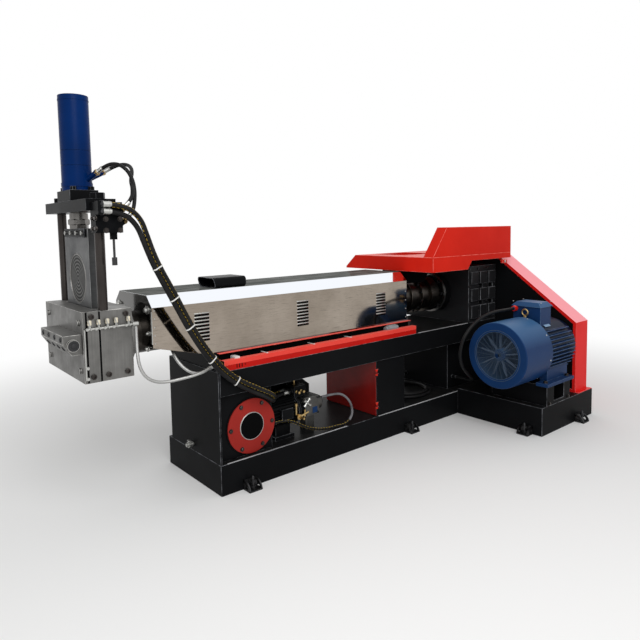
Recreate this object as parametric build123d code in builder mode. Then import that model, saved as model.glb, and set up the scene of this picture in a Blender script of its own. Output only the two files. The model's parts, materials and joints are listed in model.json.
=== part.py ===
from build123d import *
from math import radians, tan
import os

os.makedirs("parts", exist_ok=True)

# lines that the whole machine is laid out from
barrel_height = 1000
barrel_setback = 349
overrun = 10
shaft_clearance = 0.1
running_gap = 5
slip = 0.3

# welded base frame
base_left = 2290
base_right = 798
base_depth = 696
base_height = 190
base_front = -barrel_setback
base_back = base_front + base_depth
motor_base_reach = 766
motor_base_height = 217
motor_base_front = base_front - motor_base_reach

# levelling clips with their bolts
clip_width = 92
clip_height = 62
clip_thickness = 9
clip_reach = 74
clip_bolt_radius = 8
clip_bolt_height = 88
clip_places = (
    (-2092, base_front, 0),
    (-623, base_front, 0),
    (551, motor_base_front, 0),
    (-2092, base_back, 180),
    (-623, base_back, 180),
)

# beam that carries the barrel, its end plate and the oil tank under it
beam_bottom = 605
beam_top = 755
beam_back = 300
end_plate_thickness = 12
end_plate_left = -base_left
tank_left = end_plate_left + end_plate_thickness
tank_width = 393
tank_right = tank_left + tank_width
tank_setback = 45
tank_front = base_front + tank_setback
hatch_x = -2044
hatch_z = 371
hatch_radius = 179
hatch_thickness = 14
hatch_label_radius = 82
hatch_label_height = 2
hatch_bolt_ring_radius = 155
hatch_bolt_radius = 11
hatch_bolt_height = 8
hatch_bolts = 6
drain_y = -5
drain_z = 233
drain_pipe_radius = 12
drain_length = 48
drain_body_radius = 19
drain_handle_length = 46
drain_handle_width = 14
drain_handle_thickness = 6

# cable tray along the front of the beam
tray_left = -2245
tray_right = -530
tray_wall = 4
tray_front_height = 62
tray_back_height = 98
tray_flange = 24

# control cabinet between base and beam
cabinet_left = -960
cabinet_width = 305
cabinet_setback = 12
cabinet_depth = 560
cabinet_wall = 6
cabinet_frame = 22
cabinet_right = cabinet_left + cabinet_width
cabinet_front = base_front + cabinet_setback
cabinet_back = cabinet_front + cabinet_depth
door_thickness = 6
door_gap = 5
hinge_radius = 9
hinge_pin_radius = 4
hinge_length = 44
hinge_x = cabinet_left - hinge_radius
hinge_y = cabinet_front - hinge_radius
hinge_z_share = (0.2, 0.8)
lug_depth = 24

# pedestal and gearbox
gearbox_left = 150
gearbox_right = 550
gearbox_half_depth = barrel_setback
gearbox_bottom = beam_top
gearbox_rise = 240
gearbox_top = barrel_height + gearbox_rise
gearbox_rib_depth = 42
gearbox_bay_spans = ((275, 350), (440, 500))
bay_low_bottom = 845
bay_low_top = 964
bay_high_bottom = 1033
bay_high_top = 1163
pedestal_left = -10
pedestal_half_depth = 249

# barrel with its thrust bearing housing
barrel_radius = 125
barrel_left = -2700
barrel_collar_radius = 150
barrel_collar_left = -88
barrel_collar_width = 95
bearing_left = 60
bearing_radius = 168
bearing_lug_radius = 22
bearing_lugs = 8
bearing_lug_length = 26
support_width = 120
support_depth = 300
support_places_share = (0.2, 0.86)

# polished cover round the heated part of the barrel
cover_left = -2644
cover_right = -542
cover_half_depth = 265
cover_rise = 233
cover_top = barrel_height + cover_rise
cover_chamfer_drop = 66
cover_chamfer_run = 67
cover_drop = 142
cover_bottom = barrel_height - cover_drop
cover_left_drop = 59
cover_left_bottom = barrel_height - cover_left_drop
cover_cut_right = -2318
cover_wall = 5
cover_end_bore = barrel_radius + slip
chute_left = -2210
chute_right = -1975
chute_back = 20
chute_front = -190
chute_height = 65
chute_wall = 5
chute_round = 26
chute_mouth_lean = 14

# hood over the feed section, its raised front screen and the feed hopper
hood_left = -505
hood_right = 550
hood_front = -499
hood_back = 473
hood_rise = 235
hood_height = 115
hood_bottom = barrel_height + hood_rise
hood_top = hood_bottom + hood_height
hood_back_chamfer_run = 117
hood_back_chamfer_drop = 100
hood_sheet = 6
hood_notch_left = -67
hood_notch_right = -13
hood_notch_rise = 69
hood_notch_bottom = hood_bottom + hood_notch_rise
screen_rise = 228
screen_top = hood_top + screen_rise
screen_slope_left = -337
screen_depth = 96
hopper_left = -330
hopper_right = 60
hopper_front = -60
hopper_back = 300
hopper_wall = 8
hopper_throat_half = 105
hopper_throat_rise = 118
hopper_throat_z = barrel_height + hopper_throat_rise
hopper_collar_height = 20

# belt guard
guard_left = 566
guard_right = 760
guard_front = -1084
guard_front_top = 793
guard_slope_y = -299
guard_top = 1367
guard_flat_back = 101
guard_back = 301
guard_back_top = 1180
guard_rim = 26
guard_recess = 14
guard_foot_height = 5
guard_foot_width = 34
guard_shaft_bore = 55

# main motor, foot mounted on two rails
motor_y = -900
motor_shaft_height = 250
motor_left = -270
motor_cowl_right = 88
motor_body_right = 452
motor_shield_right = 545
motor_core_radius = 214
motor_fin_height = 28
motor_fin_pitch = 30
motor_fin_rows = 11
motor_fin_thickness = 6
motor_shield_radius = 190
motor_cowl_radius = 247
motor_cowl_wall = 4
motor_grille_radius = 178
motor_grille_wire = 4
motor_grille_rings = 6
motor_grille_bars = 8
motor_grille_thickness = 3
motor_foot_half_width = 245
motor_foot_pad_width = 95
motor_foot_left = 20
motor_foot_length = 400
motor_foot_thickness = 24
motor_leg_inset = 28
motor_leg_width = 60
motor_shaft_radius = 36
motor_shaft_length = 120
rail_top = 376
motor_z = rail_top + motor_shaft_height
rail_front_thickness = 14
rail_left = 65
rail_right = 418
rail_notch_left = 171
rail_notch_right = 321
rail_notch_bottom = 245
rail_back = -640
fan_left = -236
fan_width = 66
fan_hub_radius = 46
fan_radius = 168
fan_blades = 9
fan_blade_thickness = 7
fan_shaft_radius = 20
fan_shaft_seat = 40
tbox_left = 134
tbox_length = 156
tbox_width = 230
tbox_height = 112
tbox_lid_height = 34
tbox_lid_lip = 12
tbox_lid_top_share = 0.72
eye_x = 111
eye_radius = 24
eye_wire = 6
eye_stem = 44

# die head: two plates, guides between them and the screen slide
head_x = -2925
head_half_width = 325
head_drop = 176
head_rise = 192
head_bottom = barrel_height - head_drop
head_top = barrel_height + head_rise
slide_thickness = 44
slot_width = slide_thickness + 2 * running_gap
front_plate_thickness = 84
rear_plate_thickness = 118
slide_half_width = 200
slide_lift = 11
slide_rise = 612
slide_bottom = head_bottom + slide_lift
slide_top = barrel_height + slide_rise
screen_radius = 140
screen_travel = 340
screen_z = barrel_height + screen_travel
screen_depth_in = 4
slot_left = head_x - slot_width / 2
slot_right = head_x + slot_width / 2
front_plate_left = slot_left - front_plate_thickness
rear_plate_right = slot_right + rear_plate_thickness
guide_gap_half = slide_half_width + running_gap
neck_flange_radius = 172
neck_flange_thickness = 46
neck_radius = 112
neck_bolts = 8
neck_bolt_ring_radius = 148
neck_bolt_radius = 13
neck_bolt_height = 14
head_bolt_radius = 15
head_bolt_height = 10
head_bolt_edge = 60
heater_rail_left = -3020
heater_rail_width = 24
heater_rail_height = 24
heater_terminal_radius = 9
heater_terminal_height = 34
heater_terminal_places = (-3005, -2960, -2915, -2870, -2805)

# die lip bar on the front of the head
lip_half_length = 197
lip_y = -108
lip_rise = 27
lip_z = barrel_height + lip_rise
lip_depth = 92
lip_height = 104
lip_bevel_run = 40
lip_bevel_drop = 60
lip_plug_radius = 30
lip_plug_length = 18

# hydraulic press frame above the head
rod_offset = 310
rod_radius = 25
top_plate_rise = 700
top_plate_bottom = barrel_height + top_plate_rise
top_plate_thickness = 60
top_plate_half_width = 355
top_plate_half_depth = 75
rod_nut_radius = 38
rod_nut_height = 32
flange_half = 112
flange_height = 58
flange_bolt_radius = 17
flange_bolt_height = 20
flange_bolt_inset = 28
cylinder_radius = 78
cylinder_rise = 625
cylinder_top = top_plate_bottom + cylinder_rise
cylinder_wall = 12
cylinder_groove_width = 4
cylinder_groove_depth = 2
cylinder_groove_heights = (2030, 1950)
piston_rod_radius = 40
piston_rod_reach = 320
coupling_radius = 48
coupling_height = 50
coupling_nut_across = 88
coupling_nut_height = 44

# hand valve at the near end of the top plate
valve_left = -2980
valve_right = -2845
valve_drop = 112
valve_rise = 40
valve_bottom = top_plate_bottom - valve_drop
valve_front = -425
valve_body_top = top_plate_bottom + valve_rise
valve_elbow_width = 18
valve_elbow_reach = 42
valve_elbow_height = 66
lever_x = -2882
lever_y = -390
lever_pivot_drop = 20
lever_eye_radius = 14
lever_eye_thickness = 12
lever_ear_thickness = 8
lever_pin_radius = 6
lever_length = 104
lever_rod_radius = 6
knob_radius = 13
knob_length = 40

# hydraulic unit on the base
pump_y = -170
pump_z = 358
pump_motor_left = -1868
pump_motor_right = -1610
pump_motor_radius = 100
pump_motor_foot = 150
pump_bell_right = -1560
pump_bell_radius = 74
pump_right = -1425
pump_half_width = 58
pump_half_height = 66
manifold_left = -1640
manifold_right = -1540
manifold_depth = 110
manifold_height = 62
manifold_seat_share = 0.9

# glands and hose fittings
fitting_radius = 15
fitting_length = 60
port_depth = 90

# flexible lines, with the points that their centre lines turn at
arc_run_share = 0.45
hose_diameter = 27
supply_route = [
    (-2954, -450, 1728),
    (-2850, -450, 1727),
    (-2766, -453, 1666),
    (-2733, -456, 1567),
    (-2700, -454, 1470),
    (-2655, -446, 1381),
    (-2606, -437, 1298),
    (-2557, -426, 1211),
    (-2511, -418, 1126),
    (-2463, -410, 1042),
    (-2412, -403, 961),
    (-2356, -397, 883),
    (-2294, -392, 809),
    (-2224, -387, 742),
    (-2144, -387, 683),
    (-2054, -404, 633),
    (-1956, -410, 580),
    (-1877, -345, 525),
    (-1854, -233, 501),
    (-1779, -164, 488),
    (-1680, -150, 486),
]
return_route = [
    (-2954, -450, 1694),
    (-2860, -450, 1685),
    (-2786, -452, 1625),
    (-2752, -456, 1524),
    (-2724, -454, 1421),
    (-2679, -445, 1331),
    (-2630, -435, 1248),
    (-2584, -425, 1164),
    (-2539, -417, 1080),
    (-2493, -409, 995),
    (-2441, -402, 914),
    (-2384, -396, 836),
    (-2321, -392, 763),
    (-2250, -388, 697),
    (-2174, -386, 640),
    (-2094, -382, 588),
    (-2009, -389, 543),
    (-1918, -366, 505),
    (-1856, -290, 477),
    (-1783, -215, 484),
    (-1680, -198, 486),
]
short_hose_diameter = 20
valve_hose_low_route = [
    (-2824, -400, 1650),
    (-2768, -400, 1692),
    (-2732, -370, 1746),
    (-2710, -338, 1805),
    (-2706, -305, 1867),
    (-2728, -269, 1923),
    (-2772, -224, 1955),
    (-2823, -176, 1948),
    (-2854, -122, 1915),
]
valve_hose_high_route = [
    (-2824, -385, 1712),
    (-2768, -382, 1758),
    (-2737, -351, 1818),
    (-2725, -281, 1861),
    (-2675, -244, 1919),
    (-2660, -178, 1957),
    (-2680, -110, 1970),
    (-2728, -57, 1958),
    (-2789, -37, 1925),
]
pump_hose_diameter = 18
pump_hose_route = [
    (-1845, -283, 334),
    (-1756, -283, 334),
    (-1676, -293, 295),
    (-1600, -302, 250),
    (-1517, -308, 218),
    (-1429, -312, 203),
    (-1340, -319, 202),
    (-1250, -326, 202),
    (-1177, -309, 250),
    (-1160, -268, 327),
    (-1211, -230, 391),
    (-1297, -207, 395),
    (-1385, -207, 395),
]
conduit_diameter = 18
conduit_front_route = [
    (-2766, -338, 1092),
    (-2766, -338, 1020),
    (-2769, -348, 948),
    (-2763, -352, 876),
    (-2732, -351, 811),
    (-2671, -349, 771),
    (-2600, -349, 761),
    (-2528, -354, 765),
    (-2456, -360, 770),
    (-2384, -351, 778),
    (-2318, -322, 790),
    (-2245, -322, 790),
]
conduit_back_route = [
    (-2500, -128, 940),
    (-2500, -179, 916),
    (-2511, -230, 894),
    (-2516, -277, 864),
    (-2498, -312, 823),
    (-2458, -329, 786),
    (-2405, -326, 767),
    (-2352, -307, 770),
    (-2301, -288, 786),
    (-2245, -288, 786),
]
motor_cable_diameter = 24
motor_cable_route = [
    (98, -805, 930),
    (-5, -805, 930),
    (-108, -794, 931),
    (-210, -782, 919),
    (-308, -771, 890),
    (-392, -752, 834),
    (-443, -726, 749),
    (-440, -696, 651),
    (-393, -667, 565),
    (-323, -641, 494),
    (-241, -619, 435),
    (-155, -591, 385),
    (-71, -546, 343),
    (3, -480, 310),
    (60, -394, 290),
    (60, -289, 290),
]
coil_cable_diameter = 26
coil_lead_in_route = [
    (-622, 221, 209),
    (-594, 221, 209),
    (-566, 223, 207),
    (-539, 227, 205),
    (-512, 229, 203),
    (-485, 229, 203),
]
coil_lead_out_route = [
    (-185, 229, 231),
    (-158, 229, 231),
    (-131, 226, 235),
    (-104, 221, 242),
    (-76, 219, 245),
    (-48, 219, 245),
]
coil_x = -335
coil_y = -20
coil_outer_radius = 262
coil_inner_radius = 158
coil_height = 54


def middle(low, high):
    return (low + high) / 2


def bend_radii(route):
    radii = []
    for before, corner, after in zip(route, route[1:], route[2:]):
        arriving = Vector(*corner) - Vector(*before)
        leaving = Vector(*after) - Vector(*corner)
        half_turn = radians(arriving.get_angle(leaving)) / 2
        shorter = min(arriving.length, leaving.length)
        radii.append(arc_run_share * shorter / tan(half_turn))
    return radii


def flexible_line(route, diameter):
    radii = bend_radii(route)
    with BuildPart() as line:
        with BuildLine() as path:
            FilletPolyline(*route, radius=radii)
        with BuildSketch(Plane(origin=path.line @ 0, z_dir=path.line % 0)):
            Circle(diameter / 2)
        sweep()
    length = sum(edge.length for edge in path.edges())
    print("length", round(length), "radii in diameters", [round(r / diameter, 1) for r in radii])
    return line


def keep(piece, name):
    piece.part.label = name
    export_step(piece.part, f"parts/{name}.step")


# base frame under the barrel
with BuildPart() as base_plinth:
    with Locations((middle(-base_left, base_right), middle(base_front, base_back), base_height / 2)):
        Box(base_left + base_right, base_depth, base_height)
keep(base_plinth, "base_plinth")

# base frame under the motor
with BuildPart() as motor_base:
    with Locations((base_right / 2, middle(motor_base_front, base_front), motor_base_height / 2)):
        Box(base_right, motor_base_reach, motor_base_height)
keep(motor_base, "motor_base")

# slide rails of the motor, joined by a notched end plate
with BuildPart() as motor_rails:
    with BuildSketch(Plane.XZ.offset(-motor_base_front)):
        with BuildLine():
            Polyline(
                (rail_left, motor_base_height),
                (rail_left, rail_top),
                (rail_notch_left, rail_top),
                (rail_notch_left, rail_notch_bottom),
                (rail_notch_right, rail_notch_bottom),
                (rail_notch_right, rail_top),
                (rail_right, rail_top),
                (rail_right, motor_base_height),
                close=True,
            )
        make_face()
    extrude(amount=-rail_front_thickness)
    for low, high in ((rail_left, rail_notch_left), (rail_notch_right, rail_right)):
        with Locations(
            (middle(low, high), middle(motor_base_front, rail_back), middle(motor_base_height, rail_top))
        ):
            Box(high - low, rail_back - motor_base_front, rail_top - motor_base_height)
keep(motor_rails, "motor_rails")

# levelling clips along the foot of the base
with BuildPart() as levelling_clips:
    places = [Location((x, y, 0), (0, 0, turn)) for x, y, turn in clip_places]
    with Locations(*places):
        with Locations((0, -clip_reach / 2, clip_thickness / 2)):
            Box(clip_width, clip_reach, clip_thickness)
        for side in (-1, 1):
            with Locations((side * (clip_width - clip_thickness) / 2, -clip_reach / 2, clip_height / 2)):
                Box(clip_thickness, clip_reach, clip_height)
        with Locations((0, -clip_reach / 2, clip_bolt_height / 2)):
            Cylinder(clip_bolt_radius, clip_bolt_height)
keep(levelling_clips, "levelling_clips")

# beam under the barrel
with BuildPart() as main_beam:
    with Locations(
        (middle(tank_left, gearbox_right), middle(base_front, beam_back), middle(beam_bottom, beam_top))
    ):
        Box(gearbox_right - tank_left, beam_back - base_front, beam_top - beam_bottom)
keep(main_beam, "main_beam")

# full height plate at the die end
with BuildPart() as end_plate:
    with Locations(
        (
            middle(end_plate_left, tank_left),
            middle(base_front, beam_back),
            middle(base_height, beam_top),
        )
    ):
        Box(end_plate_thickness, beam_back - base_front, beam_top - base_height)
keep(end_plate, "end_plate")

# oil tank
with BuildPart() as oil_tank:
    with Locations(
        (middle(tank_left, tank_right), middle(tank_front, beam_back), middle(base_height, beam_bottom))
    ):
        Box(tank_width, beam_back - tank_front, beam_bottom - base_height)
    with BuildSketch(Plane(origin=pump_hose_route[0], z_dir=(-1, 0, 0))):
        Circle(fitting_radius)
    extrude(amount=fitting_length)
keep(oil_tank, "oil_tank")

# round bolted hatch of the oil tank
hatch_plane = Plane(origin=(hatch_x, tank_front, hatch_z), z_dir=(0, -1, 0))
with BuildPart() as tank_hatch:
    with BuildSketch(hatch_plane):
        Circle(hatch_radius)
    extrude(amount=hatch_thickness)
    with BuildSketch(hatch_plane.offset(hatch_thickness)):
        Circle(hatch_label_radius)
    extrude(amount=hatch_label_height)
    with BuildSketch(hatch_plane.offset(hatch_thickness)):
        with PolarLocations(hatch_bolt_ring_radius, hatch_bolts):
            RegularPolygon(hatch_bolt_radius, 6)
    extrude(amount=hatch_bolt_height)
keep(tank_hatch, "tank_hatch")

# drain tap on the end plate
drain_plane = Plane(origin=(end_plate_left, drain_y, drain_z), z_dir=(-1, 0, 0))
with BuildPart() as drain_tap:
    with BuildSketch(drain_plane):
        Circle(drain_pipe_radius)
    extrude(amount=drain_length)
    with BuildSketch(drain_plane.offset(drain_length / 2)):
        Circle(drain_body_radius)
    extrude(amount=drain_length / 4, both=True)
    with Locations(
        (
            end_plate_left - drain_length / 2,
            drain_y,
            drain_z + drain_body_radius + drain_handle_thickness / 2,
        )
    ):
        Box(drain_handle_width, drain_handle_length, drain_handle_thickness)
    with Locations((end_plate_left - drain_length / 2, drain_y, drain_z + drain_body_radius / 2)):
        Box(drain_handle_width, drain_handle_width, drain_body_radius + drain_handle_thickness)
keep(drain_tap, "drain_tap")

# open cable tray
tray_back = -cover_half_depth
tray_front_top = beam_top + tray_front_height
tray_back_top = beam_top + tray_back_height
with BuildPart() as cable_tray:
    with BuildSketch(Plane.YZ.offset(tray_left)):
        with BuildLine():
            Polyline(
                (base_front, beam_top),
                (tray_back, beam_top),
                (tray_back, tray_back_top),
                (tray_back - tray_flange, tray_back_top),
                (tray_back - tray_flange, tray_back_top - tray_wall),
                (tray_back - tray_wall, tray_back_top - tray_wall),
                (tray_back - tray_wall, beam_top + tray_wall),
                (base_front + tray_wall, beam_top + tray_wall),
                (base_front + tray_wall, tray_front_top - tray_wall),
                (base_front + tray_flange, tray_front_top - tray_wall),
                (base_front + tray_flange, tray_front_top),
                (base_front, tray_front_top),
                close=True,
            )
        make_face()
    extrude(amount=tray_right - tray_left)
    with Locations(
        (
            tray_left + tray_wall / 2,
            middle(base_front, tray_back),
            beam_top + tray_front_height / 2,
        )
    ):
        Box(tray_wall, tray_back - base_front, tray_front_height)
keep(cable_tray, "cable_tray")

# control cabinet with its open left side and hinge lugs
cabinet_height = beam_bottom - base_height
cabinet_mid = (
    middle(cabinet_left, cabinet_right),
    middle(cabinet_front, cabinet_back),
    middle(base_height, beam_bottom),
)
hinge_heights = [base_height + share * cabinet_height for share in hinge_z_share]
lug_length = hinge_length / 4
with BuildPart() as control_cabinet:
    with Locations(cabinet_mid):
        Box(cabinet_width, cabinet_depth, cabinet_height)
        Box(
            cabinet_width - 2 * cabinet_wall,
            cabinet_depth - 2 * cabinet_wall,
            cabinet_height - 2 * cabinet_wall,
            mode=Mode.SUBTRACT,
        )
    with Locations((cabinet_left, cabinet_mid[1], cabinet_mid[2])):
        Box(
            2 * overrun,
            cabinet_depth - 2 * cabinet_frame,
            cabinet_height - 2 * cabinet_frame,
            mode=Mode.SUBTRACT,
        )
    for height in hinge_heights:
        with Locations((hinge_x, hinge_y, height)):
            Cylinder(hinge_pin_radius, hinge_length)
        for side in (-1, 1):
            lug_z = height + side * (hinge_length - lug_length) / 2
            with Locations((hinge_x, hinge_y, lug_z)):
                Cylinder(hinge_radius, lug_length)
            with Locations((hinge_x + lug_depth / 2, middle(hinge_y, cabinet_front), lug_z)):
                Box(lug_depth, hinge_radius, lug_length)
    with BuildSketch(Plane(origin=coil_lead_in_route[0], z_dir=(-1, 0, 0))):
        Circle(fitting_radius)
    extrude(amount=coil_lead_in_route[0][0] - cabinet_right + cabinet_wall)
keep(control_cabinet, "control_cabinet")

# hinged cabinet door
door_right = cabinet_left - door_gap
door_left = door_right - door_thickness
door_front = cabinet_front + slip
door_back = cabinet_back - slip
door_height = cabinet_height - 2 * running_gap
knuckle_length = hinge_length - 2 * lug_length - 2 * slip
with BuildPart() as cabinet_door:
    with Locations(
        (middle(door_left, door_right), middle(door_front, door_back), middle(base_height, beam_bottom))
    ):
        Box(door_thickness, door_back - door_front, door_height)
    for height in hinge_heights:
        with Locations((middle(door_left, door_right), middle(hinge_y, door_front), height)):
            Box(door_thickness, door_front - hinge_y, knuckle_length)
        with Locations((hinge_x, hinge_y, height)):
            Cylinder(hinge_radius, knuckle_length)
            Cylinder(hinge_pin_radius + shaft_clearance, hinge_length, mode=Mode.SUBTRACT)
keep(cabinet_door, "cabinet_door")

# pedestal under the gearbox
with BuildPart() as gearbox_pedestal:
    with Locations((middle(pedestal_left, gearbox_right), 0, middle(base_height, beam_bottom))):
        Box(gearbox_right - pedestal_left, 2 * pedestal_half_depth, beam_bottom - base_height)
    with BuildSketch(Plane(origin=motor_cable_route[-1], z_dir=(0, 1, 0))):
        Circle(fitting_radius)
    extrude(amount=fitting_length)
    with BuildSketch(Plane(origin=coil_lead_out_route[-1], z_dir=(1, 0, 0))):
        Circle(fitting_radius)
    extrude(amount=fitting_length)
keep(gearbox_pedestal, "gearbox_pedestal")

# ribbed gearbox housing
with BuildPart() as gearbox_housing:
    with Locations((middle(gearbox_left, gearbox_right), 0, middle(gearbox_bottom, gearbox_top))):
        Box(gearbox_right - gearbox_left, 2 * gearbox_half_depth, gearbox_top - gearbox_bottom)
    for side in (-1, 1):
        for low, high in ((bay_low_bottom, bay_low_top), (bay_high_bottom, bay_high_top)):
            for bay_left, bay_right in gearbox_bay_spans:
                with Locations(
                    (
                        middle(bay_left, bay_right),
                        side * (gearbox_half_depth - gearbox_rib_depth / 2),
                        middle(low, high),
                    )
                ):
                    Box(bay_right - bay_left, gearbox_rib_depth, high - low, mode=Mode.SUBTRACT)
keep(gearbox_housing, "gearbox_housing")

# thrust bearing housing between barrel and gearbox
axis_left = Plane(origin=(0, 0, barrel_height), z_dir=(1, 0, 0))
with BuildPart() as bearing_housing:
    with BuildSketch(axis_left.offset(bearing_left)):
        Circle(bearing_radius)
    extrude(amount=gearbox_left - bearing_left)
    with BuildSketch(axis_left.offset(bearing_left)):
        with PolarLocations(bearing_radius - bearing_lug_radius, bearing_lugs):
            Circle(bearing_lug_radius / 2)
    extrude(amount=-bearing_lug_length)
keep(bearing_housing, "bearing_housing")

# barrel with its collar and the feed pocket
with BuildPart() as barrel:
    with BuildSketch(axis_left.offset(barrel_left)):
        Circle(barrel_radius)
    extrude(amount=bearing_left - barrel_left)
    with BuildSketch(axis_left.offset(barrel_collar_left)):
        Circle(barrel_collar_radius)
    extrude(amount=barrel_collar_width)
    gland_z_dir = Vector(*conduit_back_route[0]) - Vector(*conduit_back_route[1])
    with BuildSketch(Plane(origin=conduit_back_route[0], z_dir=gland_z_dir)):
        Circle(fitting_radius)
    extrude(amount=fitting_length)
    with Locations(
        (middle(hopper_left, hopper_right) - hopper_throat_half, 0, barrel_height + barrel_radius)
    ):
        Box(hopper_throat_half, hopper_throat_half, barrel_radius, mode=Mode.SUBTRACT)
keep(barrel, "barrel")

# saddles that carry the barrel and its cover on the beam
with BuildPart() as barrel_saddles:
    for share in support_places_share:
        saddle_x = cover_left + share * (cover_right - cover_left)
        with Locations((saddle_x, 0, middle(beam_top, barrel_height))):
            Box(support_width, support_depth, barrel_height - beam_top)
        with Locations((saddle_x, 0, middle(beam_top, cover_bottom))):
            Box(support_width, 2 * cover_half_depth, cover_bottom - beam_top)
    with BuildSketch(axis_left.offset(cover_left)):
        Circle(barrel_radius)
    extrude(amount=cover_right - cover_left, mode=Mode.SUBTRACT)
keep(barrel_saddles, "barrel_saddles")

# polished sheet cover, open below
cover_outline = (
    (-cover_half_depth, cover_bottom),
    (-cover_half_depth, cover_top - cover_chamfer_drop),
    (cover_chamfer_run - cover_half_depth, cover_top),
    (cover_half_depth - cover_chamfer_run, cover_top),
    (cover_half_depth, cover_top - cover_chamfer_drop),
    (cover_half_depth, cover_bottom),
)
with BuildPart() as barrel_cover:
    with BuildSketch(Plane.YZ.offset(cover_left)):
        with BuildLine():
            Polyline(*cover_outline, close=True)
        make_face()
    extrude(amount=cover_right - cover_left)
    with BuildSketch(Plane.YZ.offset(cover_left + cover_wall)):
        with BuildLine():
            Polyline(*cover_outline, close=True)
        make_face()
        offset(amount=-cover_wall)
        with Locations((0, cover_bottom)):
            Rectangle(2 * (cover_half_depth - cover_wall), 2 * (cover_wall + overrun))
    extrude(amount=cover_right - cover_left - 2 * cover_wall, mode=Mode.SUBTRACT)
    with BuildSketch(Plane.XZ):
        with BuildLine():
            Polyline(
                (cover_left - overrun, cover_bottom - overrun),
                (cover_left - overrun, cover_left_bottom),
                (cover_left, cover_left_bottom),
                (cover_cut_right, cover_bottom),
                (cover_cut_right, cover_bottom - overrun),
                close=True,
            )
        make_face()
    extrude(amount=cover_half_depth + overrun, both=True, mode=Mode.SUBTRACT)
    with BuildSketch(axis_left.offset(cover_left - overrun)):
        Circle(cover_end_bore)
    extrude(amount=cover_right - cover_left + 2 * overrun, mode=Mode.SUBTRACT)
keep(barrel_cover, "barrel_cover")

# vent chute on top of the cover, with round shoulders and a leaning mouth to the left
chute_top = cover_top + chute_height
with BuildPart() as vent_chute:
    with BuildSketch(Plane.YZ.offset(chute_left)) as chute_section:
        with Locations((middle(chute_front, chute_back), middle(cover_top, chute_top))):
            Rectangle(chute_back - chute_front, chute_height)
        fillet(chute_section.vertices().group_by(Axis.Z)[-1], chute_round)
    extrude(amount=chute_right - chute_left)
    with BuildSketch(Plane.YZ.offset(chute_left - chute_wall)) as chute_hollow:
        with Locations((middle(chute_front, chute_back), middle(cover_top, chute_top))):
            Rectangle(chute_back - chute_front - 2 * chute_wall, chute_height - 2 * chute_wall)
        fillet(chute_hollow.vertices().group_by(Axis.Z)[-1], chute_round - chute_wall)
    extrude(amount=chute_right - chute_left, mode=Mode.SUBTRACT)
    with BuildSketch(Plane.XZ):
        with BuildLine():
            Polyline(
                (chute_left - overrun, cover_top),
                (chute_left - overrun, chute_top),
                (chute_left, chute_top),
                (chute_left + chute_mouth_lean, cover_top),
                close=True,
            )
        make_face()
    extrude(amount=base_depth, both=True, mode=Mode.SUBTRACT)
keep(vent_chute, "vent_chute")

# hood over the feed section
with BuildPart() as feed_hood:
    with BuildSketch(Plane.YZ.offset(hood_left)):
        with BuildLine():
            Polyline(
                (hood_front, hood_bottom),
                (hood_front, hood_top),
                (hood_back - hood_back_chamfer_run, hood_top),
                (hood_back, hood_top - hood_back_chamfer_drop),
                (hood_back, hood_bottom),
                close=True,
            )
        make_face()
    extrude(amount=hood_right - hood_left)
    with BuildSketch(Plane.YZ.offset(hood_left + hood_sheet)):
        with BuildLine():
            Polyline(
                (hood_front + hood_sheet, hood_bottom - overrun),
                (hood_front + hood_sheet, hood_top - hood_sheet),
                (hood_back - hood_back_chamfer_run - hood_sheet / 2, hood_top - hood_sheet),
                (hood_back - hood_sheet, hood_top - hood_back_chamfer_drop - hood_sheet / 2),
                (hood_back - hood_sheet, hood_bottom - overrun),
                close=True,
            )
        make_face()
    extrude(amount=hood_right - hood_left, mode=Mode.SUBTRACT)
    with BuildSketch(Plane.XZ):
        with BuildLine():
            Polyline(
                (hood_notch_left, hood_bottom - overrun),
                (hood_notch_left, hood_bottom),
                (hood_notch_right, hood_notch_bottom),
                (hood_right + overrun, hood_notch_bottom),
                (hood_right + overrun, hood_bottom - overrun),
                close=True,
            )
        make_face()
    extrude(amount=base_depth, both=True, mode=Mode.SUBTRACT)
    with Locations(
        (middle(hopper_left, hopper_right), middle(hopper_front, hopper_back), hood_top - hood_sheet / 2)
    ):
        Box(
            hopper_right - hopper_left,
            hopper_back - hopper_front,
            4 * hood_sheet,
            mode=Mode.SUBTRACT,
        )
keep(feed_hood, "feed_hood")

# raised box screen along the front of the hood
with BuildPart() as hood_screen:
    with BuildSketch(Plane.XZ.offset(-hood_front)):
        with BuildLine():
            Polyline(
                (hood_left, hood_top),
                (screen_slope_left, screen_top),
                (hood_right, screen_top),
                (hood_right, hood_top),
                close=True,
            )
        make_face()
    extrude(amount=-screen_depth)
keep(hood_screen, "hood_screen")

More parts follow.
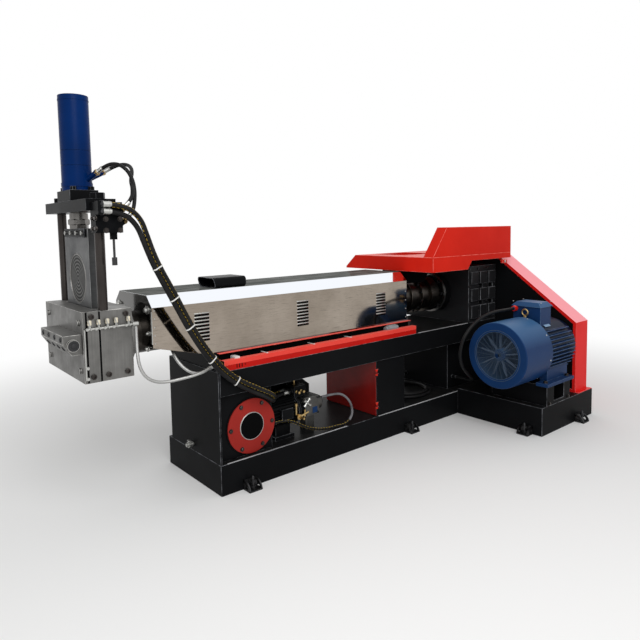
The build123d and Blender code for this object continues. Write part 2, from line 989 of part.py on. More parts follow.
# tapered feed hopper down to the barrel
throat_x = middle(hopper_left, hopper_right) - hopper_throat_half
hopper_bottom = hood_top - hopper_collar_height
with BuildPart() as feed_hopper:
    with BuildSketch(Plane.XY.offset(hopper_bottom)):
        with Locations((middle(hopper_left, hopper_right), middle(hopper_front, hopper_back))):
            Rectangle(hopper_right - hopper_left, hopper_back - hopper_front)
    extrude(amount=hopper_collar_height)
    with BuildSketch(Plane.XY.offset(hopper_bottom)):
        with Locations((middle(hopper_left, hopper_right), middle(hopper_front, hopper_back))):
            Rectangle(hopper_right - hopper_left, hopper_back - hopper_front)
    with BuildSketch(Plane.XY.offset(hopper_throat_z)):
        with Locations((throat_x, 0)):
            Rectangle(2 * hopper_throat_half, 2 * hopper_throat_half)
    loft()
    with BuildSketch(Plane.XY.offset(hopper_bottom)):
        with Locations((middle(hopper_left, hopper_right), middle(hopper_front, hopper_back))):
            Rectangle(
                hopper_right - hopper_left - 2 * hopper_wall,
                hopper_back - hopper_front - 2 * hopper_wall,
            )
    extrude(amount=hopper_collar_height, mode=Mode.SUBTRACT)
    with BuildSketch(Plane.XY.offset(hopper_bottom)):
        with Locations((middle(hopper_left, hopper_right), middle(hopper_front, hopper_back))):
            Rectangle(
                hopper_right - hopper_left - 2 * hopper_wall,
                hopper_back - hopper_front - 2 * hopper_wall,
            )
    with BuildSketch(Plane.XY.offset(hopper_throat_z)):
        with Locations((throat_x, 0)):
            Rectangle(
                2 * (hopper_throat_half - hopper_wall),
                2 * (hopper_throat_half - hopper_wall),
            )
    loft(mode=Mode.SUBTRACT)
    with BuildSketch(axis_left.offset(throat_x - hopper_throat_half)):
        Circle(barrel_radius)
    extrude(amount=hopper_right - throat_x + hopper_throat_half, mode=Mode.SUBTRACT)
keep(feed_hopper, "feed_hopper")

# belt guard housing with a rim round its left face
guard_outline = (
    (guard_front, motor_base_height),
    (guard_front, guard_front_top),
    (guard_slope_y, guard_top),
    (guard_flat_back, guard_top),
    (guard_back, guard_back_top),
    (guard_back, base_height),
    (base_front, base_height),
    (base_front, motor_base_height),
)
with BuildPart() as belt_guard:
    with BuildSketch(Plane.YZ.offset(guard_left)):
        with BuildLine():
            Polyline(*guard_outline, close=True)
        make_face()
    extrude(amount=guard_right - guard_left)
    with BuildSketch(Plane.YZ.offset(guard_left)):
        with BuildLine():
            Polyline(*guard_outline, close=True)
        make_face()
        offset(amount=-guard_rim, kind=Kind.INTERSECTION)
    extrude(amount=guard_recess, mode=Mode.SUBTRACT)
    with BuildSketch(Plane(origin=(guard_left, motor_y, motor_z), z_dir=(1, 0, 0))):
        Circle(guard_shaft_bore)
    extrude(amount=motor_shaft_length + overrun, mode=Mode.SUBTRACT)
    with Locations(
        (
            guard_right + guard_foot_width / 2,
            middle(guard_front, base_front),
            motor_base_height + guard_foot_height / 2,
        )
    ):
        Box(guard_foot_width, base_front - guard_front, guard_foot_height)
keep(belt_guard, "belt_guard")

# black back plate inside the rim of the guard
with BuildPart() as guard_back_plate:
    with BuildSketch(Plane.YZ.offset(guard_left + guard_recess / 2)):
        with BuildLine():
            Polyline(*guard_outline, close=True)
        make_face()
        offset(amount=-guard_rim, kind=Kind.INTERSECTION)
    extrude(amount=guard_recess / 2)
    with BuildSketch(Plane(origin=(guard_left, motor_y, motor_z), z_dir=(1, 0, 0))):
        Circle(guard_shaft_bore)
    extrude(amount=2 * guard_recess, mode=Mode.SUBTRACT)
keep(guard_back_plate, "guard_back_plate")

# motor frame with cooling fins, end shield, feet and shaft
motor_plane = Plane(origin=(0, motor_y, motor_z), z_dir=(1, 0, 0))
leg_bottom = rail_top + motor_foot_thickness
with BuildPart() as motor_frame:
    with BuildSketch(motor_plane.offset(motor_cowl_right)):
        Circle(motor_core_radius)
    extrude(amount=motor_body_right - motor_cowl_right)
    with BuildSketch(Plane.YZ.offset(motor_cowl_right)):
        with Locations((motor_y, motor_z)):
            for row in range(motor_fin_rows):
                fin_z = (row - (motor_fin_rows - 1) / 2) * motor_fin_pitch
                reach = (motor_core_radius**2 - fin_z**2) ** 0.5 + motor_fin_height
                with Locations((0, fin_z)):
                    Rectangle(2 * reach, motor_fin_thickness)
    extrude(amount=motor_body_right - motor_cowl_right)
    with BuildSketch(motor_plane.offset(motor_body_right)):
        Circle(motor_shield_radius)
    extrude(amount=motor_shield_right - motor_body_right)
    with BuildSketch(motor_plane.offset(motor_shield_right)):
        Circle(motor_shaft_radius)
    extrude(amount=motor_shaft_length)
    for side in (-1, 1):
        pad_y = motor_y + side * (motor_foot_half_width - motor_foot_pad_width / 2)
        with Locations((motor_foot_left + motor_foot_length / 2, pad_y, middle(rail_top, leg_bottom))):
            Box(motor_foot_length, motor_foot_pad_width, motor_foot_thickness)
        leg_y = motor_y + side * (motor_foot_half_width - motor_leg_inset - motor_leg_width)
        leg_left = max(motor_foot_left, motor_cowl_right) + motor_leg_inset
        leg_right = motor_foot_left + motor_foot_length
        with Locations((middle(leg_left, leg_right), leg_y, middle(rail_top, motor_z))):
            Box(leg_right - leg_left, motor_leg_width, motor_z - rail_top)
    with BuildSketch(motor_plane.offset(motor_cowl_right)):
        Circle(fan_shaft_radius + shaft_clearance)
    extrude(amount=fan_shaft_seat, mode=Mode.SUBTRACT)
keep(motor_frame, "motor_frame")

# fan cowl, open at the back
with BuildPart() as motor_cowl:
    with BuildSketch(motor_plane.offset(motor_left)):
        Circle(motor_cowl_radius)
    extrude(amount=motor_cowl_right - motor_left)
    fillet(motor_cowl.edges().filter_by(GeomType.CIRCLE).sort_by(Axis.X)[0], 2 * motor_cowl_wall)
    with BuildSketch(motor_plane.offset(motor_left + motor_cowl_wall)):
        Circle(motor_cowl_radius - motor_cowl_wall)
    extrude(amount=motor_cowl_right - motor_left - 2 * motor_cowl_wall, mode=Mode.SUBTRACT)
    with BuildSketch(motor_plane.offset(motor_left)):
        Circle(motor_grille_radius)
    extrude(amount=motor_cowl_wall + overrun, mode=Mode.SUBTRACT)
    with BuildSketch(motor_plane.offset(motor_cowl_right - motor_cowl_wall)):
        Circle(motor_core_radius - motor_fin_height)
    extrude(amount=2 * motor_cowl_wall, mode=Mode.SUBTRACT)
keep(motor_cowl, "motor_cowl")

# wire grille in the mouth of the cowl
ring_pitch = motor_grille_radius / motor_grille_rings
with BuildPart() as fan_grille:
    with BuildSketch(motor_plane.offset(motor_left)):
        for ring in range(motor_grille_rings, 0, -1):
            Circle(ring * ring_pitch)
            Circle(ring * ring_pitch - motor_grille_wire, mode=Mode.SUBTRACT)
        with PolarLocations(motor_grille_radius / 2 - motor_grille_wire / 2, motor_grille_bars):
            Rectangle(motor_grille_radius - motor_grille_wire, motor_grille_wire)
    extrude(amount=motor_grille_thickness)
keep(fan_grille, "fan_grille")

# cooling fan with its shaft end
with BuildPart() as cooling_fan:
    with BuildSketch(motor_plane.offset(fan_left)):
        Circle(fan_hub_radius)
    extrude(amount=fan_width)
    with BuildSketch(motor_plane.offset(fan_left + fan_width)):
        Circle(fan_shaft_radius)
    extrude(amount=motor_cowl_right + fan_shaft_seat - shaft_clearance - fan_left - fan_width)
    with BuildSketch(motor_plane.offset(fan_left)):
        with PolarLocations(0, fan_blades):
            with Locations((fan_radius / 2, 0)):
                Rectangle(fan_radius, fan_blade_thickness)
    extrude(amount=fan_width)
keep(cooling_fan, "cooling_fan")

# terminal box with its domed lid
tbox_mid_x = tbox_left + tbox_length / 2
tbox_seat = motor_z + (motor_core_radius**2 - (tbox_width / 2) ** 2) ** 0.5
tbox_top = motor_z + motor_core_radius + tbox_height
with BuildPart() as terminal_box:
    with Locations((tbox_mid_x, motor_y, middle(tbox_seat, tbox_top))):
        Box(tbox_length, tbox_width, tbox_top - tbox_seat)
    with BuildSketch(motor_plane.offset(motor_cowl_right)):
        Circle(motor_core_radius)
    extrude(amount=motor_body_right - motor_cowl_right, mode=Mode.SUBTRACT)
    with BuildSketch(Plane.XY.offset(tbox_top)):
        with Locations((tbox_mid_x, motor_y)):
            Rectangle(tbox_length + 2 * tbox_lid_lip, tbox_width + 2 * tbox_lid_lip)
    with BuildSketch(Plane.XY.offset(tbox_top + tbox_lid_height)):
        with Locations((tbox_mid_x, motor_y)):
            Rectangle(
                tbox_lid_top_share * (tbox_length + 2 * tbox_lid_lip),
                tbox_lid_top_share * (tbox_width + 2 * tbox_lid_lip),
            )
    loft()
    with BuildSketch(Plane(origin=motor_cable_route[0], z_dir=(1, 0, 0))):
        Circle(fitting_radius)
    extrude(amount=fitting_length)
keep(terminal_box, "terminal_box")

# lifting eye beside the terminal box
eye_seat = motor_z + motor_core_radius
eye_z = eye_seat + eye_stem + eye_radius
with BuildPart() as lifting_eye:
    with Locations(Location((eye_x, motor_y, eye_z), (0, 90, 0))):
        Torus(eye_radius, eye_wire)
    with Locations((eye_x, motor_y, middle(eye_seat, eye_z - eye_radius))):
        Cylinder(2 * eye_wire, eye_stem)
keep(lifting_eye, "lifting_eye")

# plates of the die head
head_height = head_top - head_bottom
with BuildPart() as die_front_plate:
    with Locations((middle(front_plate_left, slot_left), 0, middle(head_bottom, head_top))):
        Box(front_plate_thickness, 2 * head_half_width, head_height)
    for y in (head_bolt_edge - head_half_width, head_half_width - head_bolt_edge):
        for z in (head_bottom + head_bolt_edge, head_top - head_bolt_edge):
            with Locations(Location((front_plate_left - head_bolt_height / 2, y, z), (0, 90, 0))):
                Cylinder(head_bolt_radius, head_bolt_height)
keep(die_front_plate, "die_front_plate")

with BuildPart() as die_rear_plate:
    with Locations((middle(slot_right, rear_plate_right), 0, middle(head_bottom, head_top))):
        Box(rear_plate_thickness, 2 * head_half_width, head_height)
    for side in (-1, 1):
        with Locations(
            (head_x, side * middle(guide_gap_half, head_half_width), middle(head_bottom, head_top))
        ):
            Box(slot_width, head_half_width - guide_gap_half, head_height)
keep(die_rear_plate, "die_rear_plate")

# heater rail with its terminals across the near side of the head
rail_right_x = conduit_front_route[0][0] + heater_rail_height / 2
with BuildPart() as heater_rail:
    with Locations(
        (
            middle(heater_rail_left, rail_right_x),
            -head_half_width - heater_rail_width / 2,
            conduit_front_route[0][2] + heater_rail_height / 2,
        )
    ):
        Box(rail_right_x - heater_rail_left, heater_rail_width, heater_rail_height)
    for x in heater_terminal_places:
        with BuildSketch(
            Plane(origin=(x, -head_half_width - heater_rail_width / 2, conduit_front_route[0][2]))
        ):
            Circle(heater_terminal_radius)
        extrude(amount=heater_rail_height + heater_terminal_height)
keep(heater_rail, "heater_rail")

# bevelled die lip bar with its end plug
with BuildPart() as die_lip_bar:
    with BuildSketch(Plane.XZ.offset(lip_half_length - lip_y)):
        with BuildLine():
            Polyline(
                (front_plate_left, lip_z - lip_height / 2),
                (front_plate_left, lip_z + lip_height / 2),
                (front_plate_left - lip_depth, lip_z + lip_height / 2),
                (front_plate_left - lip_depth, lip_z - lip_height / 2 + lip_bevel_drop),
                (front_plate_left - lip_depth + lip_bevel_run, lip_z - lip_height / 2),
                close=True,
            )
        make_face()
    extrude(amount=-2 * lip_half_length)
    with BuildSketch(
        Plane(
            origin=(front_plate_left - lip_depth / 2, lip_y - lip_half_length, lip_z),
            z_dir=(0, -1, 0),
        )
    ):
        Circle(lip_plug_radius)
    extrude(amount=lip_plug_length)
keep(die_lip_bar, "die_lip_bar")

# neck and bolted flange between head and barrel
with BuildPart() as die_neck:
    with BuildSketch(axis_left.offset(rear_plate_right)):
        Circle(neck_radius)
    extrude(amount=barrel_left - rear_plate_right)
    with BuildSketch(axis_left.offset(barrel_left)):
        Circle(neck_flange_radius)
    extrude(amount=-neck_flange_thickness)
    with BuildSketch(axis_left.offset(barrel_left - neck_flange_thickness)):
        with PolarLocations(neck_bolt_ring_radius, neck_bolts):
            RegularPolygon(neck_bolt_radius, 6)
    extrude(amount=-neck_bolt_height)
keep(die_neck, "die_neck")

# screen slide with its two round screens
screen_low_z = screen_z - screen_travel
with BuildPart() as screen_slide:
    with Locations((head_x, 0, middle(slide_bottom, slide_top))):
        Box(slide_thickness, 2 * slide_half_width, slide_top - slide_bottom)
    for side in (-1, 1):
        screen_face_x = head_x + side * slide_thickness / 2
        for height in (screen_z, screen_low_z):
            with BuildSketch(Plane(origin=(screen_face_x, 0, height), z_dir=(side, 0, 0))):
                Circle(screen_radius)
            extrude(amount=-screen_depth_in, mode=Mode.SUBTRACT)
keep(screen_slide, "screen_slide")

# coupling and piston rod
coupling_bottom = slide_top + coupling_nut_height
rod_bottom = coupling_bottom + coupling_height
with BuildPart() as piston_rod:
    with BuildSketch(Plane(origin=(head_x, 0, slide_top))):
        RegularPolygon(coupling_nut_across / 2, 6, major_radius=False)
    extrude(amount=coupling_nut_height)
    with BuildSketch(Plane(origin=(head_x, 0, coupling_bottom))):
        Circle(coupling_radius)
    extrude(amount=min(coupling_height, top_plate_bottom - running_gap - coupling_bottom))
    with BuildSketch(Plane(origin=(head_x, 0, coupling_bottom))):
        Circle(piston_rod_radius)
    extrude(amount=coupling_height + piston_rod_reach)
keep(piston_rod, "piston_rod")

# tie rods standing on the head
with BuildPart() as tie_rods:
    for side in (-1, 1):
        with BuildSketch(Plane(origin=(head_x, side * rod_offset, head_top))):
            Circle(rod_radius)
        extrude(amount=top_plate_bottom - head_top)
keep(tie_rods, "tie_rods")

# top plate with the nuts of the tie rods
top_plate_top = top_plate_bottom + top_plate_thickness
with BuildPart() as top_plate:
    with Locations((head_x, 0, middle(top_plate_bottom, top_plate_top))):
        Box(2 * top_plate_half_depth, 2 * top_plate_half_width, top_plate_thickness)
    for side in (-1, 1):
        with BuildSketch(Plane(origin=(head_x, side * rod_offset, top_plate_top))):
            RegularPolygon(rod_nut_radius, 6)
        extrude(amount=rod_nut_height)
    with BuildSketch(Plane(origin=(head_x, 0, top_plate_bottom))):
        Circle(piston_rod_radius + running_gap)
    extrude(amount=top_plate_thickness, mode=Mode.SUBTRACT)
keep(top_plate, "top_plate")

# square flange of the cylinder, bolted to the top plate
flange_top = top_plate_top + flange_height
with BuildPart() as cylinder_flange:
    with Locations((head_x, 0, middle(top_plate_top, flange_top))):
        Box(2 * top_plate_half_depth, 2 * flange_half, flange_height)
    with BuildSketch(Plane(origin=(head_x, 0, top_plate_top))):
        Circle(piston_rod_radius + shaft_clearance)
    extrude(amount=flange_height, mode=Mode.SUBTRACT)
    bolt_x = top_plate_half_depth - flange_bolt_inset
    bolt_y = flange_half - flange_bolt_inset
    with BuildSketch(Plane(origin=(head_x, 0, flange_top))):
        with GridLocations(2 * bolt_x, 2 * bolt_y, 2, 2):
            RegularPolygon(flange_bolt_radius, 6)
    extrude(amount=flange_bolt_height)
keep(cylinder_flange, "cylinder_flange")

# hydraulic cylinder
with BuildPart() as cylinder_tube:
    with BuildSketch(Plane(origin=(head_x, 0, flange_top))):
        Circle(cylinder_radius)
    extrude(amount=cylinder_top - flange_top)
    for height in cylinder_groove_heights:
        with BuildSketch(Plane(origin=(head_x, 0, height))):
            Circle(cylinder_radius)
            Circle(cylinder_radius - cylinder_groove_depth, mode=Mode.SUBTRACT)
        extrude(amount=cylinder_groove_width, mode=Mode.SUBTRACT)
    for route in (valve_hose_low_route, valve_hose_high_route):
        with BuildSketch(Plane(origin=route[-1], z_dir=Vector(*route[-1]) - Vector(*route[-2]))):
            Circle(fitting_radius)
        extrude(amount=port_depth)
    with BuildSketch(Plane(origin=(head_x, 0, flange_top))):
        Circle(piston_rod_radius + running_gap)
    extrude(amount=cylinder_top - flange_top - cylinder_wall, mode=Mode.SUBTRACT)
keep(cylinder_tube, "cylinder_tube")

# hand valve on the near edge of the top plate
valve_back = -top_plate_half_width
lever_pivot_z = valve_bottom - lever_pivot_drop
with BuildPart() as hand_valve:
    with Locations(
        (
            middle(valve_left, valve_right),
            middle(valve_front, valve_back),
            middle(valve_bottom, valve_body_top),
        )
    ):
        Box(valve_right - valve_left, valve_back - valve_front, valve_body_top - valve_bottom)
    elbow_z = middle(supply_route[0][2], return_route[0][2])
    with Locations((valve_left + valve_elbow_width / 2, valve_front - valve_elbow_reach / 2, elbow_z)):
        Box(valve_elbow_width, valve_elbow_reach, valve_elbow_height)
    for route in (supply_route, return_route):
        with BuildSketch(Plane(origin=route[0], z_dir=Vector(*route[0]) - Vector(*route[1]))):
            Circle(fitting_radius)
        extrude(amount=valve_elbow_width)
    for route in (valve_hose_low_route, valve_hose_high_route):
        with BuildSketch(Plane(origin=route[0], z_dir=Vector(*route[0]) - Vector(*route[1]))):
            Circle(fitting_radius)
        extrude(amount=fitting_length)
    for side in (-1, 1):
        ear_y = lever_y + side * (lever_eye_thickness / 2 + slip + lever_ear_thickness / 2)
        with Locations((lever_x, ear_y, middle(lever_pivot_z - lever_eye_radius, valve_bottom))):
            Box(
                2 * lever_eye_radius,
                lever_ear_thickness,
                valve_bottom - lever_pivot_z + lever_eye_radius,
            )
    with Locations(Location((lever_x, lever_y, lever_pivot_z), (90, 0, 0))):
        Cylinder(lever_pin_radius, lever_eye_thickness + 2 * slip + 2 * lever_ear_thickness)
keep(hand_valve, "hand_valve")

# hanging lever of the hand valve
with BuildPart() as valve_lever:
    with Locations(Location((lever_x, lever_y, lever_pivot_z), (90, 0, 0))):
        Cylinder(lever_eye_radius, lever_eye_thickness)
    with BuildSketch(Plane(origin=(lever_x, lever_y, lever_pivot_z), z_dir=(0, 0, -1))):
        Circle(lever_rod_radius)
    extrude(amount=lever_length)
    with BuildSketch(Plane(origin=(lever_x, lever_y, lever_pivot_z - lever_length), z_dir=(0, 0, -1))):
        Circle(knob_radius)
    extrude(amount=knob_length)
    with Locations(Location((lever_x, lever_y, lever_pivot_z), (90, 0, 0))):
        Cylinder(lever_pin_radius + shaft_clearance, 2 * lever_eye_thickness, mode=Mode.SUBTRACT)
keep(valve_lever, "valve_lever")

# electric motor of the oil pump with its bell and foot
pump_plane = Plane(origin=(0, pump_y, pump_z), z_dir=(1, 0, 0))
with BuildPart() as pump_motor:
    with BuildSketch(pump_plane.offset(pump_motor_left)):
        Circle(pump_motor_radius)
    extrude(amount=pump_motor_right - pump_motor_left)
    with BuildSketch(pump_plane.offset(pump_motor_right)):
        Circle(pump_bell_radius)
    extrude(amount=pump_bell_right - pump_motor_right)
    with Locations(
        (middle(pump_motor_left, pump_motor_right), pump_y, middle(base_height, pump_z))
    ):
        Box(pump_motor_right - pump_motor_left - pump_motor_foot / 2, pump_motor_foot, pump_z - base_height)
keep(pump_motor, "pump_motor")

# oil pump block
with BuildPart() as oil_pump:
    with Locations((middle(pump_bell_right, pump_right), pump_y, pump_z)):
        Box(pump_right - pump_bell_right, 2 * pump_half_width, 2 * pump_half_height)
    with Locations((middle(pump_bell_right, pump_right), pump_y, middle(base_height, pump_z))):
        Box(pump_half_width, pump_half_width, pump_z - base_height)
    with BuildSketch(Plane(origin=pump_hose_route[-1], z_dir=(-1, 0, 0))):
        Circle(fitting_radius)
    extrude(amount=fitting_length)
keep(oil_pump, "oil_pump")

# valve manifold seated on the motor
manifold_bottom = pump_z + manifold_seat_share * pump_motor_radius
manifold_top = pump_z + pump_motor_radius + manifold_height
with BuildPart() as manifold:
    with Locations(
        (middle(manifold_left, manifold_right), pump_y, middle(manifold_bottom, manifold_top))
    ):
        Box(manifold_right - manifold_left, manifold_depth, manifold_top - manifold_bottom)
    with BuildSketch(pump_plane.offset(pump_motor_left)):
        Circle(pump_motor_radius)
    extrude(amount=pump_motor_right - pump_motor_left, mode=Mode.SUBTRACT)
    for tip, inner in ((supply_route[-1], supply_route[-2]), (return_route[-1], return_route[-2])):
        with BuildSketch(Plane(origin=tip, z_dir=Vector(*tip) - Vector(*inner))):
            Circle(fitting_radius)
        extrude(amount=fitting_length)
keep(manifold, "manifold")

# the two long hoses between hand valve and manifold
hose_supply = flexible_line(supply_route, hose_diameter)
keep(hose_supply, "hose_supply")
hose_return = flexible_line(return_route, hose_diameter)
keep(hose_return, "hose_return")

# short hoses between hand valve and cylinder
valve_hose_low = flexible_line(valve_hose_low_route, short_hose_diameter)
keep(valve_hose_low, "valve_hose_low")
valve_hose_high = flexible_line(valve_hose_high_route, short_hose_diameter)
keep(valve_hose_high, "valve_hose_high")

# suction hose looped between tank and pump
pump_hose = flexible_line(pump_hose_route, pump_hose_diameter)
keep(pump_hose, "pump_hose")

# heater conduits that hang down to the end of the cable tray
conduit_front = flexible_line(conduit_front_route, conduit_diameter)
keep(conduit_front, "conduit_front")
conduit_back = flexible_line(conduit_back_route, conduit_diameter)
keep(conduit_back, "conduit_back")

# supply cable of the main motor
motor_cable = flexible_line(motor_cable_route, motor_cable_diameter)
keep(motor_cable, "motor_cable")

# spare cable coiled on the base, with its two leads
coil_lead_in = flexible_line(coil_lead_in_route, coil_cable_diameter)
keep(coil_lead_in, "coil_lead_in")
coil_lead_out = flexible_line(coil_lead_out_route, coil_cable_diameter)
keep(coil_lead_out, "coil_lead_out")
with BuildPart() as cable_coil:
    with BuildSketch(Plane(origin=(coil_x, coil_y, base_height))):
        Circle(coil_outer_radius)
        Circle(coil_inner_radius, mode=Mode.SUBTRACT)
    extrude(amount=coil_height)
    for tip in (coil_lead_in_route[-1], coil_lead_out_route[0]):
        with BuildSketch(Plane(origin=tip, z_dir=(coil_x - tip[0], 0, 0))):
            Circle(coil_cable_diameter / 2)
        extrude(amount=abs(coil_x - tip[0]))
keep(cable_coil, "cable_coil")
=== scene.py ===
import json
import math

import bmesh
import bpy
from mathutils import Matrix, Vector


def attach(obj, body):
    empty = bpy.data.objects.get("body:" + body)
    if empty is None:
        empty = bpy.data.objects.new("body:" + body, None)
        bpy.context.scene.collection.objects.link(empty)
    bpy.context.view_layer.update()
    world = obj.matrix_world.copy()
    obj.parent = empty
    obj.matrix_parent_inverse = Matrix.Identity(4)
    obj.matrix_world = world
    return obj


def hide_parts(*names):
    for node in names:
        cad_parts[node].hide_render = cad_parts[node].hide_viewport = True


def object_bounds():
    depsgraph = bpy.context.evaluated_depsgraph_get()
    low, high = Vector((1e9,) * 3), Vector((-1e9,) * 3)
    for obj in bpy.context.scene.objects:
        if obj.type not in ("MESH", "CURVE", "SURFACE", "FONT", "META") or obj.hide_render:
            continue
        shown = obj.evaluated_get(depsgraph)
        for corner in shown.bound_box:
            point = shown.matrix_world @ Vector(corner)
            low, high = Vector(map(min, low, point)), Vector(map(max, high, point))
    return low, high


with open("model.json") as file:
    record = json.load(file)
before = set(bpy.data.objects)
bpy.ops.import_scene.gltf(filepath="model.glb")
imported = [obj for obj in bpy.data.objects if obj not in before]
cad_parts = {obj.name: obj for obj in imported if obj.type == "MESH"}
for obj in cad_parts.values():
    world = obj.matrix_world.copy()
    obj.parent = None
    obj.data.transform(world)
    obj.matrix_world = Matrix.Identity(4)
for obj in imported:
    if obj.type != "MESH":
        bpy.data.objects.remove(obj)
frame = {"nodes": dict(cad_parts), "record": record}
cad_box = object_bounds()


# Camera at the photograph's viewing angle.
CAMERA_PLACE = (-3.9549, -3.2928, 1.6)
CAMERA_YAW = math.radians(39.8631)
CAMERA_PITCH = math.radians(4.5963)
CAMERA_ROLL = math.radians(-1.0159)
CAMERA_LENS = 32.457
CAMERA_SENSOR = 36
CAMERA_RISE = -0.0733

# Routes of the flexible lines, in metres.
SUPPLY_ROUTE = [
    (-2.954, -0.450, 1.728), (-2.850, -0.450, 1.727), (-2.766, -0.453, 1.666), (-2.733, -0.456, 1.567),
    (-2.700, -0.454, 1.470), (-2.655, -0.446, 1.381), (-2.606, -0.437, 1.298), (-2.557, -0.426, 1.211),
    (-2.511, -0.418, 1.126), (-2.463, -0.410, 1.042), (-2.412, -0.403, 0.961), (-2.356, -0.397, 0.883),
    (-2.294, -0.392, 0.809), (-2.224, -0.387, 0.742), (-2.144, -0.387, 0.683), (-2.054, -0.404, 0.633),
    (-1.956, -0.410, 0.580), (-1.877, -0.345, 0.525), (-1.854, -0.233, 0.501), (-1.779, -0.164, 0.488),
    (-1.680, -0.150, 0.486),
]
RETURN_ROUTE = [
    (-2.954, -0.450, 1.694), (-2.857, -0.450, 1.690), (-2.783, -0.452, 1.626), (-2.749, -0.456, 1.525),
    (-2.710, -0.453, 1.427), (-2.664, -0.444, 1.341), (-2.616, -0.435, 1.257), (-2.568, -0.424, 1.172),
    (-2.523, -0.417, 1.090), (-2.474, -0.409, 1.007), (-2.423, -0.402, 0.928), (-2.366, -0.396, 0.850),
    (-2.304, -0.392, 0.779), (-2.237, -0.388, 0.716), (-2.160, -0.386, 0.660), (-2.081, -0.391, 0.613),
    (-1.995, -0.399, 0.568), (-1.912, -0.365, 0.515), (-1.858, -0.289, 0.485), (-1.785, -0.212, 0.485),
    (-1.680, -0.198, 0.486),
]
VALVE_LOW_ROUTE = [
    (-2.824, -0.400, 1.650), (-2.781, -0.400, 1.692), (-2.757, -0.370, 1.746), (-2.740, -0.338, 1.805),
    (-2.736, -0.305, 1.867), (-2.752, -0.269, 1.923), (-2.786, -0.224, 1.955), (-2.826, -0.176, 1.948),
    (-2.854, -0.122, 1.915),
]
VALVE_HIGH_ROUTE = [
    (-2.824, -0.385, 1.712), (-2.776, -0.382, 1.756), (-2.754, -0.346, 1.812), (-2.742, -0.291, 1.861),
    (-2.709, -0.240, 1.913), (-2.695, -0.178, 1.950), (-2.706, -0.112, 1.966), (-2.742, -0.060, 1.955),
    (-2.789, -0.037, 1.925),
]
PUMP_ROUTE = [
    (-1.845, -0.283, 0.334), (-1.756, -0.283, 0.334), (-1.676, -0.293, 0.295), (-1.600, -0.302, 0.250),
    (-1.517, -0.308, 0.218), (-1.429, -0.312, 0.203), (-1.340, -0.319, 0.202), (-1.250, -0.326, 0.202),
    (-1.177, -0.309, 0.250), (-1.160, -0.268, 0.327), (-1.211, -0.230, 0.391), (-1.297, -0.207, 0.395),
    (-1.385, -0.207, 0.395),
]
CONDUIT_FRONT_ROUTE = [
    (-2.766, -0.338, 1.092), (-2.766, -0.338, 1.020), (-2.769, -0.348, 0.948), (-2.763, -0.352, 0.876),
    (-2.732, -0.351, 0.811), (-2.671, -0.349, 0.771), (-2.600, -0.349, 0.761), (-2.528, -0.354, 0.765),
    (-2.456, -0.360, 0.770), (-2.384, -0.351, 0.778), (-2.318, -0.322, 0.790), (-2.245, -0.322, 0.790),
]
CONDUIT_BACK_ROUTE = [
    (-2.500, -0.128, 0.940), (-2.500, -0.179, 0.916), (-2.511, -0.230, 0.894), (-2.516, -0.277, 0.864),
    (-2.498, -0.312, 0.823), (-2.458, -0.329, 0.786), (-2.405, -0.326, 0.767), (-2.352, -0.307, 0.770),
    (-2.301, -0.288, 0.786), (-2.245, -0.288, 0.786),
]
MOTOR_CABLE_ROUTE = [
    (0.098, -0.805, 0.930), (-0.005, -0.805, 0.930), (-0.108, -0.794, 0.931), (-0.210, -0.782, 0.919),
    (-0.308, -0.771, 0.890), (-0.392, -0.752, 0.834), (-0.443, -0.726, 0.749), (-0.440, -0.696, 0.651),
    (-0.393, -0.667, 0.565), (-0.323, -0.641, 0.494), (-0.241, -0.619, 0.435), (-0.155, -0.591, 0.385),
    (-0.071, -0.546, 0.343), (0.003, -0.480, 0.310), (0.060, -0.394, 0.290), (0.060, -0.289, 0.290),
]
COIL_LEAD_IN = [
    (-0.622, 0.221, 0.209), (-0.594, 0.221, 0.209), (-0.566, 0.223, 0.207), (-0.539, 0.227, 0.205),
    (-0.512, 0.229, 0.203), (-0.485, 0.229, 0.203), (-0.410, 0.229, 0.203),
]
COIL_LEAD_OUT = [
    (-0.260, 0.229, 0.231), (-0.185, 0.229, 0.231), (-0.158, 0.229, 0.231), (-0.131, 0.226, 0.235),
    (-0.104, 0.221, 0.242), (-0.076, 0.219, 0.245), (-0.048, 0.219, 0.245),
]
COIL_CENTRE = (-0.335, -0.020)
COIL_LOW = 0.203
COIL_HIGH = 0.231
COIL_TURN_RADII = (0.249, 0.222, 0.195, 0.249)
COIL_STEPS = 16
COIL_WANDER = 0.004

UP = (0, 0, 1)
LEFT = (-1, 0, 0)
RIGHT = (1, 0, 0)
OUT = (0, -1, 0)


def add_camera():
    forward = Vector((
        math.sin(CAMERA_YAW) * math.cos(CAMERA_PITCH),
        math.cos(CAMERA_YAW) * math.cos(CAMERA_PITCH),
        -math.sin(CAMERA_PITCH),
    ))
    right = Vector((math.cos(CAMERA_YAW), -math.sin(CAMERA_YAW), 0))
    up = right.cross(forward)
    turned_right = math.cos(CAMERA_ROLL) * right + math.sin(CAMERA_ROLL) * up
    turned_up = math.cos(CAMERA_ROLL) * up - math.sin(CAMERA_ROLL) * right
    camera = bpy.data.cameras.new("camera")
    camera.sensor_width = CAMERA_SENSOR
    camera.lens = CAMERA_LENS
    camera.shift_y = CAMERA_RISE
    holder = bpy.data.objects.new("camera", camera)
    turn = Matrix((turned_right, turned_up, -forward)).transposed().to_4x4()
    holder.matrix_world = Matrix.Translation(CAMERA_PLACE) @ turn
    bpy.context.scene.collection.objects.link(holder)
    bpy.context.scene.camera = holder


add_camera()


